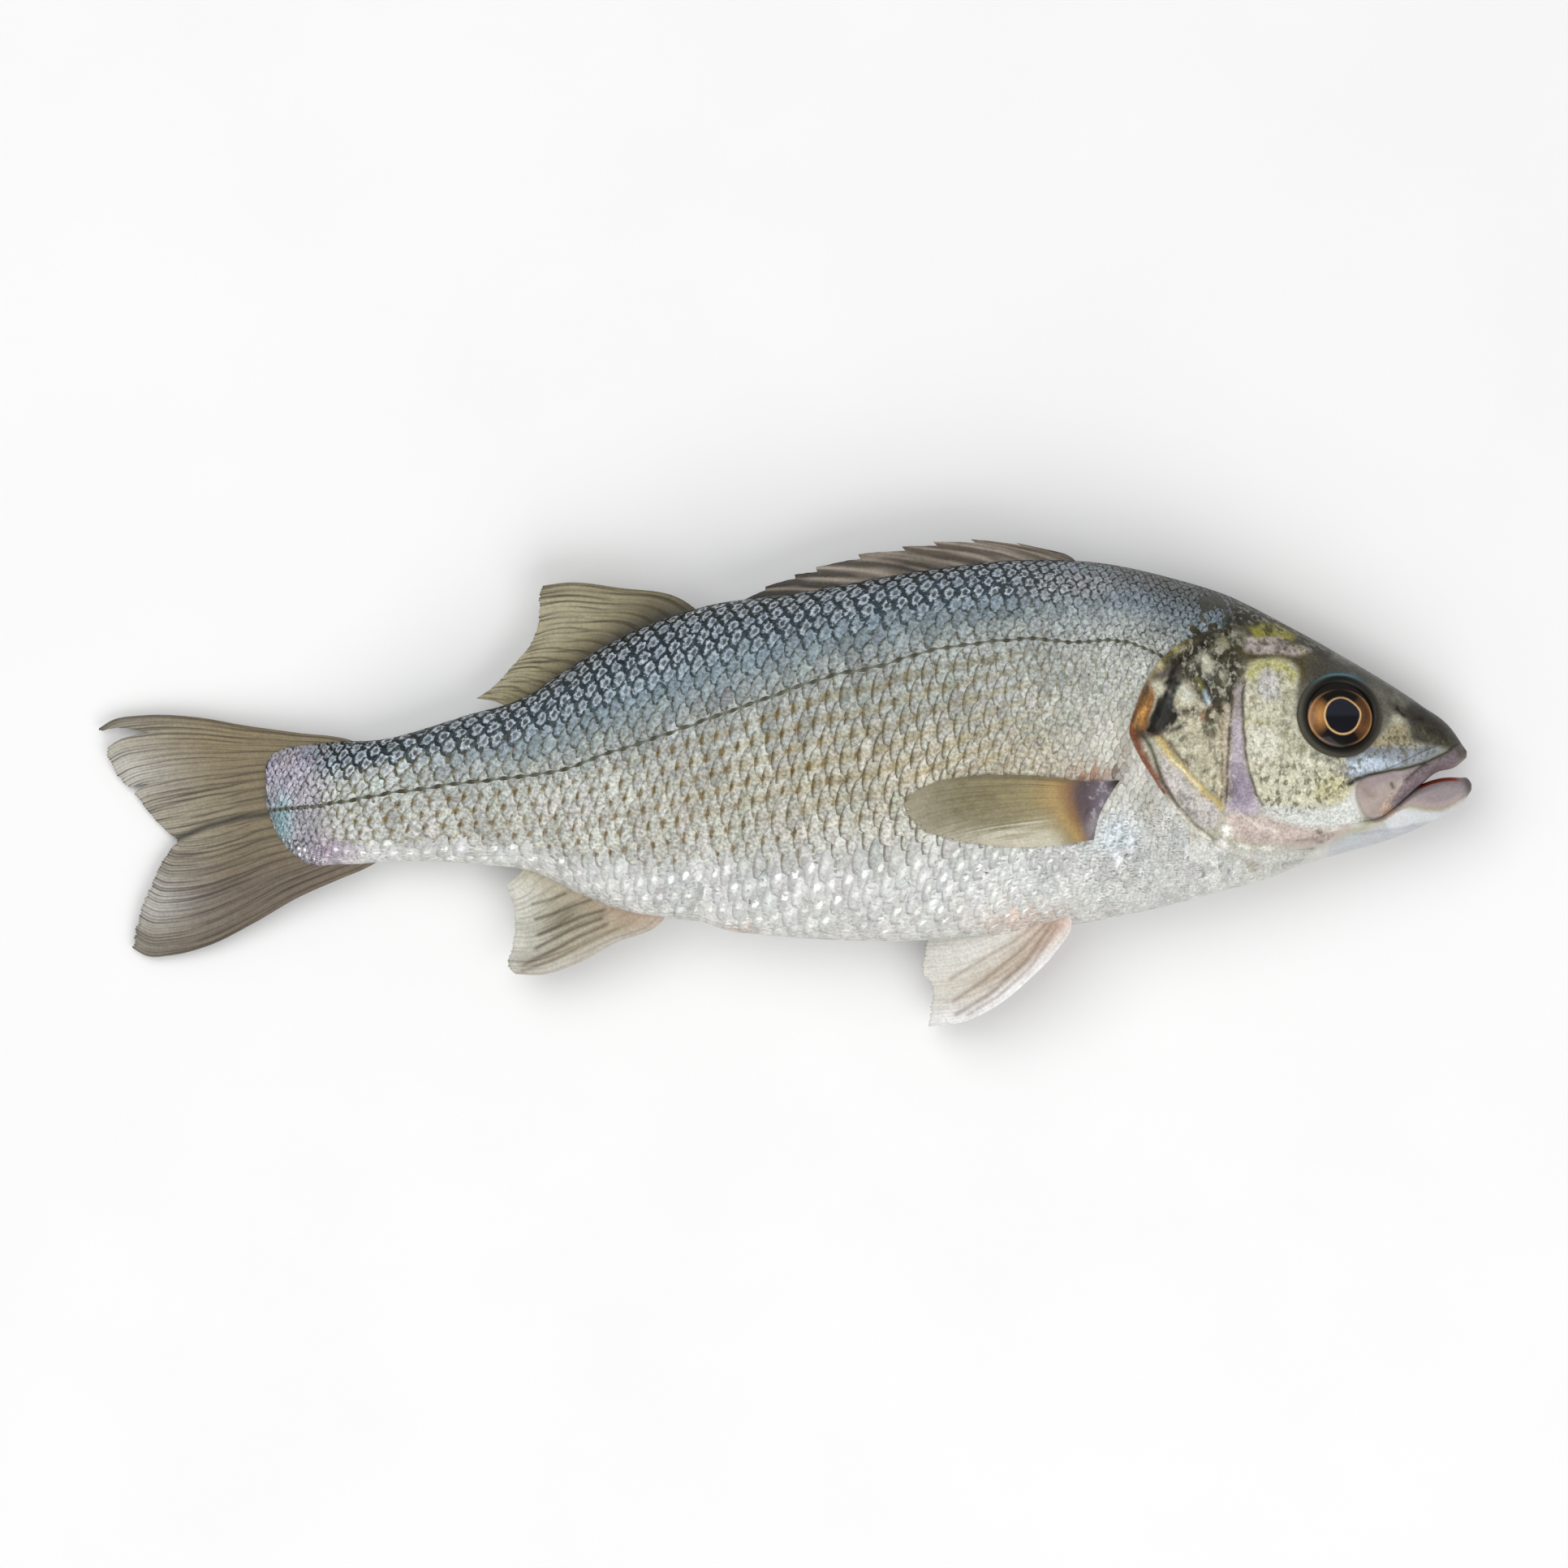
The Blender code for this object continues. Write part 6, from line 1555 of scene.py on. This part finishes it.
# A pectoral fin lies on its flank: height = skin + thickness, which thins from root to rim.
def makePectoralFin(side):
    shape = pectoralFin
    ragged = lambda u: 0.02 * (softNoise(u * 40.0, 0 * u, 1.0, 62) + 1)
    reach = lambda u: 1 - 0.015 * (1 - rayLines(u, 0.95, shape, 0.1)) - ragged(u)
    flat, u, v = patchGrid(shape, shape["columns"], shape["rows"], reach)
    x, y = flat[..., 0], flat[..., 1]
    skin = halfThickness(x, y)
    ray = rayLines(u, v, shape, 0.15 - 0.06 * v)
    thick = shape["root"] + (shape["rim"] - shape["root"]) * v ** 0.7
    swell = np.exp(-((v - 0.12) / 0.10) ** 2) * np.sin(math.pi * np.clip(u, 0.02, 0.98)) ** 0.6
    rise = (thick + shape["lobe"] * swell) * np.sqrt(np.clip(v * 9, 0, 1))
    rise = rise + 0.14 * ray * np.clip((v - 0.2) * 3, 0, 1) * (1.1 - v)
    clearance, sink = fishForm["tableClearance"], shape["sink"]
    outer = np.maximum(middleHeight(x) + side * (skin + rise), clearance)
    inner = np.maximum(middleHeight(x) + side * (skin - sink), clearance + sink)
    if side < 0:
        inner = np.maximum(inner, outer + 0.15)
    bend = v + 0.03 * np.sin(math.pi * u) + 0.15 * u ** 2.5 - 0.02
    colours = stopsAt(shape["web"][::-1], bend)
    streak = softNoise(u * 70.0, v * 3.0, 1.0, 53) + 0.6 * softNoise(u * 170.0, v * 6.0, 1.0, 54)
    dark = np.clip(0.45 * ray + 0.45 * streak, 0, 1) * ease((v - 0.2) / 0.15)
    dark = dark * (1 - ease((u - 0.35) / 0.5)) * (1.1 - 0.5 * v)
    colours = mixed(colours, "#4b4329", np.clip(dark, 0, 1) * 0.85)
    frontEdge = ease((0.09 - u) / 0.07) * ease((v - 0.15) / 0.15) * (1 - 0.6 * v)
    colours = mixed(colours, "#544a31", frontEdge * 0.8)
    spots = ease((softNoise(x, y, 1.5, 57) + 0.4 * streak - 0.1) / 0.5) * ease((v - 0.35) / 0.3)
    colours = mixed(colours, "#665c3c", spots * (1 - 0.4 * u) * 0.5)
    paleWeb = ease((u - 0.42 + 0.2 * streak) / 0.45) * ease((v - 0.22) / 0.25)
    colours = mixed(colours, "#d0ccb8", paleWeb * 0.75)
    colours = mixed(colours, "#99937d", ease((v - 0.72) / 0.3) * 0.6)
    glint = ease((softNoise(x, y, 0.8, 55) + 0.5 * softNoise(x, y, 0.4, 56) - 0.1) / 0.7)
    colours = mixed(colours, "#c0bac4", glint * ease((0.15 - bend) / 0.05) * 0.45)
    colours = mixed(colours, "#b7b0b2", np.exp(-((u - 0.8) / 0.2) ** 2 - ((v - 0.04) / 0.06) ** 2) * 0.5)
    colours = mixed(colours, "#17100f", np.exp(-((u - 0.02) / 0.16) ** 2 - ((v - 0.01) / 0.045) ** 2) * 0.97)
    points = np.stack([np.stack([x, y, height], axis=-1) for height in (outer, inner)])
    faces = facingOut(points, shellFaces(*x.shape))
    tint = np.stack([colours, colours])
    addPiece(f"pectoral_fin_{sideNames[side]}", points, faces, finMaterial, "fins", tint=tint)


for side in sideNames:
    makePectoralFin(side)
print("laid the pectoral fins")

# The pored line: one short dark ridge on each scale of the dark line.
poreLine = dict(start=-112.0, end=84.0, width=0.34, height=0.14, colour="#403e30", between="#74766a")


# Place of the pored line = dark line + sway; width and height swell by 0.5 + 0.5 cos(2 pi * scales passed).
def makePoreLine(side):
    table = flanks[side]
    x = np.linspace(poreLine["start"], poreLine["end"], 1900)
    pulse = 0.5 + 0.5 * np.cos(2 * math.pi * np.cumsum(np.gradient(x) / smooth(scaleRows["spacing"], x)))
    turn = np.linspace(0.0, math.pi, 7)
    grid = x[:, None] + 0 * turn[None, :]
    width = poreLine["width"] * (0.45 + 0.9 * pulse)[:, None]
    sway = (0.16 * softNoise(x, 0 * x, 2.2, 71))[:, None]
    lift = 0.12 + poreLine["height"] * np.sin(turn)[None, :] * (0.5 + 0.7 * pulse)[:, None]
    points = onFlank(table, grid, sway + width * np.cos(turn)[None, :], lift)
    dark = (0.15 + 0.85 * pulse)[:, None] * (1 + 0.3 * softNoise(x, 0 * x, 1.5, 72))[:, None] + 0 * grid
    colours = mixed(flatColour(poreLine["between"], grid), poreLine["colour"], np.clip(dark, 0, 1))
    faces = gridFaces(*grid.shape, turned=side < 0)
    addPiece(f"pore_line_{sideNames[side]}", points, faces, smoothSkinMaterial, "skin", tint=colours)


for side in sideNames:
    makePoreLine(side)
print("drew the pored line")


# Studio: pale table, soft lights (name, place, size, power) and a camera that looks straight down.
studio = dict(
    distance=4.0, frameWidth=0.3411, sensor=36.0, target=(0.000088, -0.000177, 0.019), floor=3.0, world=0.42,
    lights=[("mainLight", (-0.45, 0.40, 1.4), 1.2, 11.5), ("fillLight", (0.40, -0.80, 1.15), 1.2, 10.5)],
)


# A plain finish with the faintest mottle.
def plainMaterial(name, colour, roughness):
    material = bpy.data.materials.new(name)
    material.use_nodes = True
    tree = material.node_tree
    place = addNode(tree, "ShaderNodeTexCoord").outputs["Object"]
    shader = tree.nodes["Principled BSDF"]
    shade = mottled(tree, (*colour, 1.0), place, 60.0, 0.01)
    tree.links.new(shade, shader.inputs["Base Color"])
    shader.inputs["Roughness"].default_value = roughness
    return material


# Table, room light, lamps turned to the middle of the table, and the camera.
def makeStudio():
    half = studio["floor"] / 2
    mesh = bpy.data.meshes.new("table_top")
    corners = [(-half, -half, 0), (half, -half, 0), (half, half, 0), (-half, half, 0)]
    mesh.from_pydata(corners, [], [(0, 1, 2, 3)])
    mesh.materials.append(plainMaterial("paleTable", (0.86, 0.86, 0.86), 0.7))
    table = bpy.data.objects.new("table_top", mesh)
    bpy.context.scene.collection.objects.link(table)
    world = bpy.data.worlds.new("softRoom")
    bpy.context.scene.world = world
    world.use_nodes = True
    sky = world.node_tree.nodes["Background"]
    sky.inputs["Color"].default_value = (1.0, 1.0, 1.0, 1.0)
    sky.inputs["Strength"].default_value = studio["world"]
    for name, place, size, power in studio["lights"]:
        light = bpy.data.lights.new(name, "AREA")
        light.size = size
        light.energy = power
        lamp = bpy.data.objects.new(name, light)
        lamp.location = place
        lean, turn = math.atan2(math.hypot(place[0], place[1]), place[2]), math.atan2(place[0], -place[1])
        lamp.rotation_euler = (lean, 0.0, turn)
        bpy.context.scene.collection.objects.link(lamp)
    camera = bpy.data.cameras.new("straightDown")
    camera.sensor_width = studio["sensor"]
    camera.lens = studio["sensor"] * studio["distance"] / studio["frameWidth"]
    camera.clip_end = 20.0
    seen = bpy.data.objects.new("straightDown", camera)
    x, y, z = studio["target"]
    seen.location = (x, y, z + studio["distance"])
    bpy.context.scene.collection.objects.link(seen)
    bpy.context.scene.camera = seen
    bpy.context.scene.view_settings.view_transform = "Standard"


makeStudio()
print("set the table, the lights and the camera")
